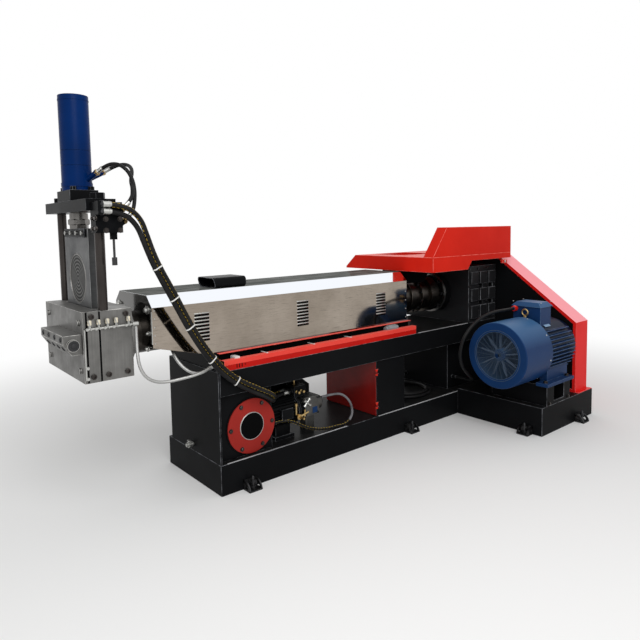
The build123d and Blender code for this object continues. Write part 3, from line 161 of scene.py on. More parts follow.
# Shader nodes
def add_node(tree, kind, feeds=None, **settings):
    """A new node with its settings, and its inputs linked or set."""
    made = tree.nodes.new(kind)
    for key, value in settings.items():
        setattr(made, key, value)
    for socket, value in (feeds or {}).items():
        if isinstance(value, bpy.types.NodeSocket):
            tree.links.new(value, made.inputs[socket])
        else:
            made.inputs[socket].default_value = value
    return made


def calc(tree, operation, *values):
    return add_node(tree, "ShaderNodeMath", dict(enumerate(values)), operation=operation).outputs[0]


def vector_calc(tree, operation, *values):
    return add_node(tree, "ShaderNodeVectorMath", dict(enumerate(values)), operation=operation).outputs


def ranged(tree, value, low, high, start=0.0, end=1.0, **settings):
    """Goes from start to end while the value goes from low to high."""
    feeds = {"Value": value, "From Min": low, "From Max": high, "To Min": start, "To Max": end}
    return add_node(tree, "ShaderNodeMapRange", feeds, **settings).outputs["Result"]


def spread(tree, mask, start, end):
    return ranged(tree, mask, 0.0, 1.0, start, end)


def own_place(tree):
    return add_node(tree, "ShaderNodeTexCoord").outputs["Object"]


def own_normal(tree):
    normal = add_node(tree, "ShaderNodeTexCoord").outputs["Normal"]
    return add_node(tree, "ShaderNodeSeparateXYZ", {"Vector": normal}).outputs


def marked(tree, name):
    return add_node(tree, "ShaderNodeAttribute", attribute_name=name).outputs["Fac"]


def noise(tree, place, scale, detail, roughness=0.5):
    feeds = {"Vector": place, "Scale": scale, "Detail": detail, "Roughness": roughness}
    return add_node(tree, "ShaderNodeTexNoise", feeds).outputs["Fac"]


def start_group(name, result, **inputs):
    tree = bpy.data.node_groups.new(name, "ShaderNodeTree")
    for label, value in inputs.items():
        kind = "NodeSocketVector" if isinstance(value, tuple) else "NodeSocketFloat"
        tree.interface.new_socket(label, in_out="INPUT", socket_type=kind).default_value = value
    tree.interface.new_socket(result, in_out="OUTPUT", socket_type="NodeSocketFloat")
    return tree, tree.nodes.new("NodeGroupInput").outputs


def end_group(tree, value):
    tree.links.new(value, tree.nodes.new("NodeGroupOutput").inputs[0])
    return tree


def clouds_group():
    """Soft patches: a mask that varies over the surface."""
    tree, given = start_group("clouds", "Mask", Scale=3.0, Low=0.4, High=0.7)
    patches = noise(tree, own_place(tree), given["Scale"], 5.0, 0.6)
    return end_group(tree, ranged(tree, patches, given["Low"], given["High"]))


def dust_group():
    """Dust that settles on faces that look up, in uneven patches."""
    tree, given = start_group("settled_dust", "Mask", Amount=0.3)
    facing = ranged(tree, own_normal(tree)["Z"], 0.3, 1.0)
    patch = ranged(tree, noise(tree, own_place(tree), 7.0, 6.0, 0.7), 0.35, 0.7)
    both = calc(tree, "MULTIPLY", facing, patch)
    return end_group(tree, calc(tree, "MULTIPLY", both, given["Amount"]))


def edge_group():
    """Edges where the paint is thin, lightened further by a painted highlight: the rounded edges carry the
    attribute edge.
    """
    tree, given = start_group("thin_and_lit_edges", "Mask", Amount=0.5)
    patch = ranged(tree, noise(tree, own_place(tree), 14.0, 4.0, 0.7), 0.35, 0.65)
    both = calc(tree, "MULTIPLY", marked(tree, "edge"), patch)
    return end_group(tree, calc(tree, "MULTIPLY", both, given["Amount"]))


def peel_group():
    """The fine ripple of sprayed gloss paint, over a longer wave of the sheet."""
    tree, _ = start_group("orange_peel", "Height")
    fine = noise(tree, own_place(tree), 260.0, 1.0)
    wave = noise(tree, own_place(tree), 5.0, 1.0)
    return end_group(tree, calc(tree, "MULTIPLY_ADD", wave, 6.0, fine))


def streak_group():
    """Brush lines: noise stretched along one axis of the object."""
    tree, given = start_group("brush_lines", "Value", Stretch=(2.0, 300.0, 300.0))
    drawn = vector_calc(tree, "MULTIPLY", own_place(tree), given["Stretch"])[0]
    return end_group(tree, noise(tree, drawn, 1.0, 3.0, 0.7))


CLOUDS = clouds_group()
DUST = dust_group()
THIN_AND_LIT_EDGES = edge_group()
PEEL = peel_group()
STREAKS = streak_group()


def use_group(tree, group, **values):
    return add_node(tree, "ShaderNodeGroup", values, node_tree=group).outputs[0]


def start_material(name, **constants):
    material = bpy.data.materials.new(name)
    material.use_nodes = True
    shader = material.node_tree.nodes["Principled BSDF"]
    for socket, value in constants.items():
        shader.inputs[socket.replace("_", " ")].default_value = value
    return material, material.node_tree, shader


def feed(tree, shader, **sockets):
    for socket, value in sockets.items():
        tree.links.new(value, shader.inputs[socket.replace("_", " ")])


def tinted(tree, colour, layers):
    """The colour with each (mask, colour) laid over it in turn."""
    for mask, over in layers:
        feeds = {"Factor": mask}
        for socket, value in ((6, colour), (7, over)):
            feeds[socket] = value if isinstance(value, bpy.types.NodeSocket) else (*value, 1)
        colour = add_node(tree, "ShaderNodeMix", feeds, data_type="RGBA").outputs[2]
    return colour


def bump(tree, height, strength, distance, **more):
    feeds = {"Height": height, "Strength": strength, "Distance": distance, **more}
    return add_node(tree, "ShaderNodeBump", feeds).outputs["Normal"]


def slope_mask(tree, low, full, fade, high):
    """Grows with the upward part of the normal from low to full and goes back from fade to high."""
    upward = own_normal(tree)["Z"]
    return calc(tree, "MULTIPLY", ranged(tree, upward, low, full), ranged(tree, upward, fade, high, 1.0, 0.0))


def axis_distance(tree, centre):
    """Distance from the line along x through the centre (y, z)."""
    flat = vector_calc(tree, "MULTIPLY", own_place(tree), (0, 1, 1))[0]
    offset = vector_calc(tree, "SUBTRACT", flat, (0, *centre))[0]
    return vector_calc(tree, "LENGTH", offset)["Value"]


DUST_COLOUR = (0.16, 0.15, 0.13)
# How strongly painted edges show thin paint together with a painted highlight.
PAINT_WEAR_AND_HIGHLIGHT = 0.8
CORE_SHADE = 0.15
# Polished cover: side, chamfer, end and top colours are painted reflections; stains and scratches are its
# own.
PAINTED_SIDE_REFLECTION = (0.36, 0.31, 0.26)
MIRROR_STAIN = (0.25, 0.21, 0.17)
PAINTED_CHAMFER_REFLECTION = (0.92, 0.95, 1.0)
MIRROR_SCRATCH = (0.16, 0.14, 0.115)
PAINTED_END_REFLECTION = (0.09, 0.088, 0.084)
PAINTED_TOP_REFLECTION = (0.055, 0.061, 0.056)
PAINTED_TOP_REFLECTION_STREAK = (0.18, 0.185, 0.175)
MESH_GAP_SHADE = (0.002, 0.002, 0.002)
MESH_WIRE = (0.12, 0.12, 0.115)
HOSE_DIRT = (0.016, 0.0155, 0.015)
HOSE_WRAP_PITCH = 0.006
HOSE_WRAP_TURNS = 9.0
DASH_COLOUR = (0.50, 0.34, 0.05)
DASH_LINES = 3.0
DASH_PERIOD = 0.024
DASH_SHARE = 0.6
DASH_SIDE = 0.5
DASH_WIDTH = 0.07


def gloss_paint(
    name, colour, deep, edge, roughness=0.28, coat=0.0, specular=0.06, dust=0.0, sheen_slope=None, shaded_core=None,
):
    """Sprayed enamel: deeper patches, dust, thin edges with a painted highlight, a painted sheen that makes
    upward faces paler where given, and painted shade that darkens towards a core line where given.
    """
    material, tree, shader = start_material(
        name, Coat_Weight=coat, Coat_Roughness=0.12, Specular_IOR_Level=specular
    )
    patches = use_group(tree, CLOUDS, Scale=2.5, Low=0.3, High=0.8)
    layers = [(patches, deep), (use_group(tree, DUST, Amount=dust), DUST_COLOUR)]
    # Painted sheen: faces that look up are painted paler, as lit from above.
    if sheen_slope:
        layers.append((slope_mask(tree, *sheen_slope[1]), sheen_slope[0]))
    # Painted shade: darker close to the core line, deep between the fins.
    if shaded_core:
        centre, near, far = shaded_core
        shaded = ranged(tree, axis_distance(tree, centre), near, far, 1.0, 0.0)
        layers.append((shaded, tuple(CORE_SHADE * part for part in colour)))
    layers.append((use_group(tree, THIN_AND_LIT_EDGES, Amount=PAINT_WEAR_AND_HIGHLIGHT), edge))
    feed(
        tree, shader, Base_Color=tinted(tree, colour, layers),
        Roughness=spread(tree, patches, roughness, roughness + 0.1),
        Normal=bump(tree, use_group(tree, PEEL), 0.25, 0.0004),
    )
    return material


def brushed_metal(name, light, dark, roughness, stretch, line=0.35, wear_and_glint=0.3, glint=1.25):
    """Metal with brush or grinding lines, duller patches, and edges lightened by rubbing and by a painted
    glint.
    """
    material, tree, shader = start_material(name, Metallic=1.0)
    lines = use_group(tree, STREAKS, Stretch=stretch)
    patches = use_group(tree, CLOUDS, Scale=6.0, Low=0.3, High=0.75)
    # Painted glint: the edge colour is the light colour brightened, for light caught on the edges.
    bright = tuple(min(1.0, glint * part) for part in light)
    layers = [(lines, dark), (patches, dark), (use_group(tree, THIN_AND_LIT_EDGES, Amount=wear_and_glint), bright)]
    duller = spread(tree, patches, roughness - 0.1, roughness + 0.1)
    feed(
        tree, shader, Base_Color=tinted(tree, light, layers),
        Roughness=calc(tree, "MULTIPLY_ADD", lines, 0.25, duller), Normal=bump(tree, lines, line, 0.0004),
    )
    return material


def mirror_sheet(name):
    """Polished sheet with painted reflections: chamfers painted bright as the sky, sides painted warm as the
    ground with scratches and stains, the end painted dark as the dark neck, a top painted dark with paler
    streaks and made less metallic, and a slight wave.
    """
    material, tree, shader = start_material(name, Specular_IOR_Level=0.0)
    normal = own_normal(tree)
    off_chamfer = calc(tree, "ABSOLUTE", calc(tree, "SUBTRACT", normal["Z"], 0.7))
    chamfer = ranged(tree, off_chamfer, 0.05, 0.25, 1.0, 0.0)
    upward = ranged(tree, normal["Z"], 0.9, 0.98)
    end = ranged(tree, normal["X"], -0.9, -0.6, 1.0, 0.0)
    hairs = use_group(tree, STREAKS, Stretch=(3.0, 260.0, 260.0))
    scratches = ranged(tree, use_group(tree, STREAKS, Stretch=(9.0, 34.0, 420.0)), 0.56, 0.66)
    streaks = ranged(tree, use_group(tree, STREAKS, Stretch=(3.0, 34.0, 34.0)), 0.44, 0.6)
    stains = use_group(tree, CLOUDS, Scale=3.0, Low=0.35, High=0.75)
    top = tinted(tree, PAINTED_TOP_REFLECTION, [(streaks, PAINTED_TOP_REFLECTION_STREAK)])
    wave = bump(tree, use_group(tree, CLOUDS, Scale=1.6, Low=0.0, High=1.0), 0.3, 0.004)
    feed(
        tree, shader,
        Base_Color=tinted(tree, PAINTED_SIDE_REFLECTION, [
            (stains, MIRROR_STAIN), (scratches, MIRROR_SCRATCH), (end, PAINTED_END_REFLECTION),
            (chamfer, PAINTED_CHAMFER_REFLECTION), (upward, top),
        ]),
        # The top is less metallic, so that its painted dark reflection stays dark.
        Metallic=spread(tree, upward, 1.0, 0.08),
        Roughness=calc(tree, "MULTIPLY_ADD", hairs, 0.08, spread(tree, stains, 0.02, 0.07)),
        Normal=bump(tree, hairs, 0.06, 0.0002, Normal=wave),
    )
    return material


def filter_mesh(name, centre, pitch):
    """Round wire cloth: rings about a centre, with painted shade between the wires."""
    material, tree, shader = start_material(name, Roughness=0.4, Specular_IOR_Level=0.05)
    angle = calc(tree, "MULTIPLY", axis_distance(tree, centre), 2 * math.pi / pitch)
    wire = ranged(tree, calc(tree, "SINE", angle), -0.4, 0.6)
    base = tinted(tree, MESH_GAP_SHADE, [(wire, MESH_WIRE)])
    feed(tree, shader, Base_Color=base, Normal=bump(tree, wire, 0.6, 0.001))
    return material


def along_wave(tree, period):
    """0 to 1 over each period along a cord."""
    return calc(tree, "FRACT", calc(tree, "DIVIDE", marked(tree, "along"), period))


def rubber_hose(name, colour, dashes=None, roughness=0.42):
    """Hose with a fabric wrap in its skin, and dashed lines along it if it has a colour for them."""
    material, tree, shader = start_material(name, Specular_IOR_Level=0.14)
    around = marked(tree, "around")
    wraps = calc(tree, "MULTIPLY", around, HOSE_WRAP_TURNS)
    thread = calc(tree, "FRACT", calc(tree, "ADD", wraps, along_wave(tree, HOSE_WRAP_PITCH)))
    dirt = use_group(tree, CLOUDS, Scale=18.0, Low=0.45, High=0.8)
    layers = [(dirt, HOSE_DIRT)]
    if dashes:
        on = calc(tree, "LESS_THAN", along_wave(tree, DASH_PERIOD), DASH_SHARE)
        side = calc(tree, "FRACT", calc(tree, "MULTIPLY", around, DASH_LINES))
        near = calc(tree, "COMPARE", side, DASH_SIDE, DASH_WIDTH)
        layers.append((calc(tree, "MULTIPLY", on, near), dashes))
    feed(
        tree, shader, Base_Color=tinted(tree, colour, layers),
        Roughness=spread(tree, dirt, roughness, roughness + 0.2), Normal=bump(tree, thread, 0.3, 0.0006),
    )
    return material


def plain_plastic(name, colour, roughness, specular=0.4):
    """Moulded plastic or ceramic with a faint grain."""
    material, tree, shader = start_material(name, Specular_IOR_Level=specular)
    grain = use_group(tree, CLOUDS, Scale=60.0, Low=0.3, High=0.8)
    feed(
        tree, shader, Base_Color=tinted(tree, colour, [(grain, tuple(0.8 * part for part in colour))]),
        Roughness=spread(tree, grain, roughness, roughness + 0.15), Normal=bump(tree, grain, 0.15, 0.0003),
    )
    return material


MOTOR = (-0.9, 0.626)
FILTER = (0, 1.34)
MOTOR_ENAMEL = ((0.007, 0.034, 0.115), (0.005, 0.022, 0.075), (0.16, 0.27, 0.42), 0.34)
HOSE_COLOUR = (0.006, 0.006, 0.0065)

BLACK = gloss_paint(
    "black_gloss_paint", (0.006, 0.0065, 0.0072), (0.0045, 0.0045, 0.005), (0.24, 0.25, 0.27), specular=0.03,
    dust=0.05,
)
GEAR_BLACK = gloss_paint(
    "cast_black_paint", (0.016, 0.0165, 0.018), (0.009, 0.009, 0.010), (0.3, 0.31, 0.33), 0.32, specular=0.1,
    dust=0.08,
)
# Painted shade: near-black for pits, slots, gaps, joints and faces under overhangs, where shade falls.
PIT_SHADE_BLACK = gloss_paint(
    "pit_shade_black_paint", (0.003, 0.003, 0.0032), (0.002, 0.002, 0.002), (0.01, 0.01, 0.01), 0.6, specular=0.02,
    dust=0.1,
)
# Painted sheen: upward faces of the red paint are painted paler, as lit from above.
RED = gloss_paint(
    "red_gloss_paint", (0.64, 0.018, 0.007), (0.52, 0.010, 0.004), (1.0, 0.36, 0.3), specular=0.05,
    sheen_slope=((0.85, 0.10, 0.07), (0.6, 0.95, 1.5, 2.0)),
)
# Painted sheen: the tray's upward faces are painted paler, as lit from above.
TRAY_RED = gloss_paint(
    "tray_red_paint", (0.50, 0.010, 0.006), (0.40, 0.007, 0.005), (0.9, 0.3, 0.25),
    sheen_slope=((0.85, 0.12, 0.09), (0.5, 0.7, 1.5, 2.0)),
)
# Painted highlight: a paler red for the light caught along the tray's front lip.
LIP_HIGHLIGHT_RED = gloss_paint("tray_lip_highlight_red_paint", (0.80, 0.075, 0.055), (0.66, 0.04, 0.03), (0.9, 0.3, 0.25))
# Painted reflection: the guard's upward slope is painted pale pink, as a reflection of the bright sky.
GUARD_RED = gloss_paint(
    "guard_red_paint", (0.76, 0.016, 0.014), (0.64, 0.011, 0.010), (0.95, 0.4, 0.36),
    sheen_slope=((1.0, 0.36, 0.40), (0.3, 0.5, 0.9, 0.97)),
)
DARK_RED = gloss_paint(
    "shaded_red_paint", (0.23, 0.008, 0.006), (0.10, 0.003, 0.002), (0.6, 0.1, 0.08), 0.15, coat=0.1,
    specular=0.15,
)
HATCH_RED = gloss_paint(
    "hatch_red_paint", (0.32, 0.024, 0.018), (0.25, 0.016, 0.012), (0.6, 0.14, 0.1), 0.4, specular=0.08
)
# Painted highlight: the upper part of the motor is painted lighter blue, as lit from above.
MOTOR_BLUE = gloss_paint(
    "motor_blue_enamel", *MOTOR_ENAMEL, specular=0.10, dust=0.05,
    sheen_slope=((0.045, 0.125, 0.26), (0.3, 1.0, 1.5, 2.0)),
)
# Painted shade: the fins darken towards the motor's body, deep between them.
FIN_BLUE = gloss_paint(
    "motor_fin_blue_enamel", *MOTOR_ENAMEL, specular=0.10, dust=0.05, shaded_core=(MOTOR, 0.212, 0.236)
)
CYLINDER_BLUE = gloss_paint(
    "cylinder_blue_enamel", (0.0, 0.020, 0.115), (0.0, 0.011, 0.06), (0.05, 0.14, 0.35), 0.26
)
# Painted highlight: pale grey for the light caught on the front edges of the base and beam.
EDGE_HIGHLIGHT_PAINT = gloss_paint(
    "edge_highlight_paint", (0.75, 0.75, 0.76), (0.07, 0.07, 0.075), (0.8, 0.8, 0.8), 0.4, specular=0.3
)
MIRROR = mirror_sheet("mirror_sheet")
FILTER_MESH = filter_mesh("filter_mesh", FILTER, 0.019)
HEAD_STEEL = brushed_metal(
    "ground_steel", (0.27, 0.265, 0.255), (0.13, 0.128, 0.122), 0.36, (260.0, 260.0, 3.0), wear_and_glint=0.9, glint=2.8
)
SLIDE_STEEL = brushed_metal(
    "slide_steel", (0.145, 0.147, 0.146), (0.06, 0.062, 0.064), 0.32, (3.0, 220.0, 220.0), wear_and_glint=0.9, glint=2.6
)
DARK_STEEL = brushed_metal(
    "oiled_dark_steel", (0.075, 0.075, 0.078), (0.04, 0.04, 0.042), 0.3, (3.0, 160.0, 160.0), wear_and_glint=0.5
)
ROD_STEEL = brushed_metal(
    "oiled_rod_steel", (0.085, 0.075, 0.07), (0.035, 0.031, 0.029), 0.18, (200.0, 200.0, 4.0), line=0.1
)
BRIGHT_STEEL = brushed_metal(
    "zinc_plated_steel", (0.6, 0.6, 0.58), (0.42, 0.42, 0.4), 0.28, (120.0,) * 3, line=0.1
)
CONDUIT_STEEL = brushed_metal(
    "conduit_steel", (0.58, 0.58, 0.57), (0.4, 0.4, 0.39), 0.35, (200.0,) * 3, line=0.1
)
COUPLING_STEEL = brushed_metal(
    "coupling_steel", (0.34, 0.33, 0.31), (0.12, 0.115, 0.11), 0.22, (160.0, 160.0, 5.0), wear_and_glint=0.9, glint=2.4
)
BARREL_STEEL = brushed_metal(
    "barrel_steel", (0.13, 0.115, 0.10), (0.05, 0.045, 0.04), 0.2, (5.0, 120.0, 120.0), wear_and_glint=0.9, glint=3.0
)
CAST_STEEL = brushed_metal(
    "cast_pump_steel", (0.17, 0.168, 0.16), (0.07, 0.069, 0.065), 0.4, (90.0,) * 3, wear_and_glint=0.8, glint=2.0
)
BRASS = brushed_metal("brass", (0.6, 0.44, 0.2), (0.4, 0.28, 0.12), 0.28, (90.0,) * 3, line=0.1)
HOSE_BLACK = rubber_hose("hose_rubber", HOSE_COLOUR)
HOSE_DASHED = rubber_hose("hose_rubber_dashed", HOSE_COLOUR, dashes=DASH_COLOUR)
HOSE_GREY = rubber_hose("spiral_hose_grey", (0.17, 0.165, 0.175), roughness=0.35)
WHITE_PLASTIC = plain_plastic("white_tie_plastic", (0.75, 0.75, 0.73), 0.4)
CREAM_CERAMIC = plain_plastic("cream_ceramic", (0.72, 0.66, 0.52), 0.3)
FAN_PLASTIC = plain_plastic("fan_plastic", (0.10, 0.14, 0.21), 0.45)
WIRE_BLUE = plain_plastic("wire_blue", (0.045, 0.075, 0.12), 0.4)
PLATE_BLUE = plain_plastic("plate_blue", (0.2, 0.33, 0.5), 0.4)
LEVER_PLASTIC = plain_plastic("lever_plastic", (0.012, 0.012, 0.012), 0.25, specular=0.5)
GREY_PLASTIC = plain_plastic("grey_plastic", (0.24, 0.25, 0.26), 0.45)


# Mesh helpers
MERGE = 0.00002
FLAT = math.radians(0.6)
SHARP = math.radians(32)


def link(obj):
    bpy.context.scene.collection.objects.link(obj)
    return obj


def finish_piece(bm, name, material, body="frame", replaces=(), weighted=True):
    """The mesh as a named piece with its material, riding on a body."""
    mesh = bpy.data.meshes.new(name)
    bm.normal_update()
    bm.to_mesh(mesh)
    bm.free()
    for item in material if isinstance(material, list) else [material]:
        mesh.materials.append(item)
    mesh.shade_smooth()
    mesh.set_sharp_from_angle(angle=SHARP)
    piece = link(bpy.data.objects.new(name, mesh))
    if weighted:
        normals = piece.modifiers.new("weighted", "WEIGHTED_NORMAL")
        normals.keep_sharp = True
        normals.weight = 50
    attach(piece, body)
    if replaces:
        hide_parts(*replaces)
    return piece


def merged(bm):
    bmesh.ops.remove_doubles(bm, verts=bm.verts, dist=MERGE)
    return bm


def outward(bm):
    bmesh.ops.recalc_face_normals(bm, faces=bm.faces)
    return bm


def clean_copy(node):
    """A node's mesh with its doubles merged and its flat faces joined."""
    bm = bmesh.new()
    bm.from_mesh(frame["nodes"][node].data)
    for layer in list(bm.loops.layers.uv):
        bm.loops.layers.uv.remove(layer)
    merged(bm)
    bmesh.ops.dissolve_limit(bm, angle_limit=FLAT, verts=bm.verts, edges=bm.edges)
    for face in bm.faces:
        face.material_index = 0
    return bm


def round_edges(bm, width):
    """Rounds the sharp edges and marks the new faces for thin paint and a painted edge highlight."""
    mark = bm.faces.layers.float.new("edge")
    edges = [e for e in bm.edges if len(e.link_faces) == 2 and e.calc_face_angle(0) > SHARP]
    made = bmesh.ops.bevel(
        bm, geom=edges, offset=width, segments=2, profile=0.5, affect="EDGES", clamp_overlap=True
    )
    for face in made["faces"]:
        face[mark] = 1
    return bm


BODY_OF = {
    node: body for body, nodes in frame["record"]["behaviour"]["bodies"].items() for node in nodes
}


EDGE_WIDTH = 0.0025


def dress(node, material, width=EDGE_WIDTH):
    """A node's own shape with rounded edges and its finish."""
    bm = round_edges(clean_copy(node), width)
    return finish_piece(bm, node + "_dressed", material, BODY_OF[node], [node])


# Flexible lines
def spline_points(name, route):
    """Points along the smooth line that follows a route."""
    curve = bpy.data.curves.new(name, "CURVE")
    curve.dimensions = "3D"
    curve.resolution_u = 24
    spline = curve.splines.new("NURBS")
    spline.points.add(len(route) - 1)
    for point, place in zip(spline.points, route):
        point.co = (*place, 1)
    spline.order_u = 3
    spline.use_endpoint_u = True
    holder = link(bpy.data.objects.new(name, curve))
    mesh = bpy.data.meshes.new_from_object(holder)
    points = [vertex.co.copy() for vertex in mesh.vertices]
    bpy.data.objects.remove(holder)
    bpy.data.curves.remove(curve)
    bpy.data.meshes.remove(mesh)
    return points


def distances(points):
    total = [0.0]
    for before, after in zip(points, points[1:]):
        total.append(total[-1] + (after - before).length)
    return total


def even_points(points, step):
    """The same line with points an even step apart."""
    total = distances(points)
    count = max(2, round(total[-1] / step))
    places = []
    index = 0
    for number in range(count + 1):
        goal = total[-1] * number / count
        while index < len(total) - 2 and total[index + 1] < goal:
            index += 1
        span = total[index + 1] - total[index]
        share = (goal - total[index]) / span if span else 0
        places.append(points[index].lerp(points[index + 1], min(1, max(0, share))))
    return places


def carried_frames(points):
    """Two cross directions at each point of the line, without twist."""
    frames = []
    side = None
    for number in range(len(points)):
        before = points[max(0, number - 1)]
        after = points[min(len(points) - 1, number + 1)]
        ahead = (after - before).normalized()
        if side is None:
            side = ahead.cross(Vector(UP) if abs(ahead.z) < 0.9 else Vector((0, 1, 0)))
        side = (side - ahead * side.dot(ahead)).normalized()
        frames.append((side, ahead.cross(side)))
    return frames


def tube(points, radii, sides):
    """A closed tube along points, with the attributes along and around on its surface."""
    bm = bmesh.new()
    along_mark = bm.loops.layers.float.new("along")
    around_mark = bm.loops.layers.float.new("around")
    total = distances(points)
    rings = []
    for point, radius, (side, up) in zip(points, radii, carried_frames(points)):
        angles = [2 * math.pi * number / sides for number in range(sides)]
        rings.append([bm.verts.new(point + radius * (math.cos(a) * side + math.sin(a) * up)) for a in angles])
    for index, (near, far) in enumerate(zip(rings, rings[1:])):
        for number in range(sides):
            after = (number + 1) % sides
            face = bm.faces.new((near[number], near[after], far[after], far[number]))
            corners = ((index, number), (index, number + 1), (index + 1, number + 1), (index + 1, number))
            for loop, (place, turn) in zip(face.loops, corners):
                loop[along_mark] = total[place]
                loop[around_mark] = turn / sides
    bm.faces.new(reversed(rings[0]))
    bm.faces.new(rings[-1])
    return bm


def hose_piece(
    bm, name, points, exit, diameter, length, material, nodes, lay="loose", stiffness="stiff", pieces=(),
):
    """The tube as a piece."""
    piece = finish_piece(bm, name, material, replaces=nodes, weighted=False)


def smooth_hose(name, route, diameter, length, material, nodes, sides=20, **cord):
    points = even_points(spline_points(name, route), diameter / 3)
    bm = tube(points, [diameter / 2] * len(points), sides)
    hose_piece(bm, name, points, route[0], diameter, length, material, nodes, **cord)


RIB_STEPS = 5
RIB_SIDES = 16


def ribbed_hose(name, route, diameter, length, material, nodes, pitch, depth, change=1.0):
    """A hose with ribs that run round it, in its second material from the given share on."""
    points = even_points(spline_points(name, route), pitch / RIB_STEPS)
    waves = [0.5 + 0.5 * math.cos(2 * math.pi * number / RIB_STEPS) for number in range(len(points))]
    bm = tube(points, [diameter / 2 - depth * (1 - wave) for wave in waves], RIB_SIDES)
    for number, face in enumerate(bm.faces):
        face.material_index = int(number > change * len(bm.faces))
    hose_piece(bm, name, points, route[0], diameter, length, material, nodes)


def coil_route():
    """Lead in, three turns that go inwards and climb, and the lead out."""
    turns = len(COIL_TURN_RADII) - 1
    route = list(COIL_LEAD_IN)
    for number in range(turns * COIL_STEPS + 1):
        turn = min(number // COIL_STEPS, turns - 1)
        share = number / COIL_STEPS - turn
        radius = COIL_TURN_RADII[turn] + share * (COIL_TURN_RADII[turn + 1] - COIL_TURN_RADII[turn])
        radius -= abs(COIL_WANDER * math.sin(3.1 * number))
        climb = min(1, max(0, number / COIL_STEPS - turns + 1.25))
        angle = math.pi / 2 - 2 * math.pi * number / COIL_STEPS
        route.append((
            COIL_CENTRE[0] + radius * math.cos(angle),
            COIL_CENTRE[1] + radius * math.sin(angle),
            COIL_LOW + climb * (COIL_HIGH - COIL_LOW),
        ))
    return route + list(COIL_LEAD_OUT)


# Turned, flat and repeated parts
def turned(bm, profile, sides, centre=(0, 0, 0), axis=UP, index=0, closed=True):
    """A turned solid from (place along the axis, radius) pairs, with flat ends if closed."""
    if closed:
        profile = [(profile[0][0], 0), *profile, (profile[-1][0], 0)]
    axis = Vector(axis).normalized()
    side = axis.orthogonal().normalized()
    up = axis.cross(side)
    rings = []
    for along, radius in profile:
        middle = Vector(centre) + along * axis
        rings.append([
            bm.verts.new(middle + radius * (math.cos(turn) * side + math.sin(turn) * up))
            for turn in (2 * math.pi * number / sides for number in range(sides if radius > 0 else 1))
        ])
    for near, far in zip(rings, rings[1:]):
        for number in range(sides):
            after = (number + 1) % sides
            corners = [
                ring[place % len(ring)] for ring, place in
                ((near, number), (near, after), (far, after), (far, number))
            ]
            bm.faces.new(list(dict.fromkeys(corners))).material_index = index
    return bm


def turned_ring(bm, profile, sides, centre=(0, 0, 0), axis=UP, index=0):
    """A turned ring: its profile ends where it starts."""
    return turned(bm, [*profile, profile[0]], sides, centre, axis, index, closed=False)


def block(bm, low, high, index=0):
    """A box between two corners."""
    made = bmesh.ops.create_cube(bm, size=1)
    size = [b - a for a, b in zip(low, high)]
    middle = [(a + b) / 2 for a, b in zip(low, high)]
    place = Matrix.Translation(middle) @ Matrix.Diagonal((*size, 1))
    bmesh.ops.transform(bm, matrix=place, verts=made["verts"])
    for face in {face for vertex in made["verts"] for face in vertex.link_faces}:
        face.material_index = index
    return bm


def blocks(*corners):
    bm = bmesh.new()
    for low, high in corners:
        block(bm, low, high)
    return bm


def plate(bm, outline, thickness, place):
    """A flat plate: its outline in x and y, raised along z, then put in place."""
    low = [bm.verts.new((x, y, 0)) for x, y in outline]
    high = [bm.verts.new((x, y, thickness)) for x, y in outline]
    bm.faces.new(reversed(low))
    bm.faces.new(high)
    for number in range(len(outline)):
        after = (number + 1) % len(outline)
        bm.faces.new((low[number], low[after], high[after], high[number]))
    bmesh.ops.transform(bm, matrix=place, verts=low + high)
    return bm


def repeat_tree():
    """Puts a part at each point, its z towards the point's facing, turned and spun about it."""
    tree = bpy.data.node_groups.new("repeat_part", "GeometryNodeTree")
    for label, kind in (
        ("Geometry", "Geometry"), ("Part", "Object"), ("Finish", "Material"), ("Spin", "Float"),
        ("Seed", "Int"),
    ):
        tree.interface.new_socket(label, in_out="INPUT", socket_type="NodeSocket" + kind)
    tree.interface.new_socket("Geometry", in_out="OUTPUT", socket_type="NodeSocketGeometry")
    given = tree.nodes.new("NodeGroupInput").outputs

    def step(kind, feeds, output=0, **settings):
        return add_node(tree, kind, feeds, **settings).outputs[output]

    facing = step("GeometryNodeInputNamedAttribute", {"Name": "facing"}, data_type="FLOAT_VECTOR")
    turn = step("GeometryNodeInputNamedAttribute", {"Name": "turn"}, data_type="FLOAT")
    chance = step("FunctionNodeRandomValue", {3: given["Spin"], "Seed": given["Seed"]}, 1, data_type="FLOAT")
    about = step("ShaderNodeCombineXYZ", {"Z": calc(tree, "ADD", turn, chance)})
    rotation = step(
        "FunctionNodeRotateRotation",
        {0: step("FunctionNodeAlignRotationToVector", {"Vector": facing}, axis="Z"),
         1: step("FunctionNodeEulerToRotation", {0: about})},
        rotation_space="LOCAL",
    )
    part = step("GeometryNodeObjectInfo", {"Object": given["Part"]}, "Geometry")
    copies = step(
        "GeometryNodeInstanceOnPoints", {"Points": given["Geometry"], "Instance": part, "Rotation": rotation}
    )
    real = step("GeometryNodeRealizeInstances", {0: copies})
    finish = step("GeometryNodeSetMaterial", {"Geometry": real, "Material": given["Finish"]})
    tree.links.new(finish, tree.nodes.new("NodeGroupOutput").inputs["Geometry"])
    return tree


REPEAT = repeat_tree()
REPEAT_INPUT = {item.name: item.identifier for item in REPEAT.interface.items_tree if item.in_out == "INPUT"}


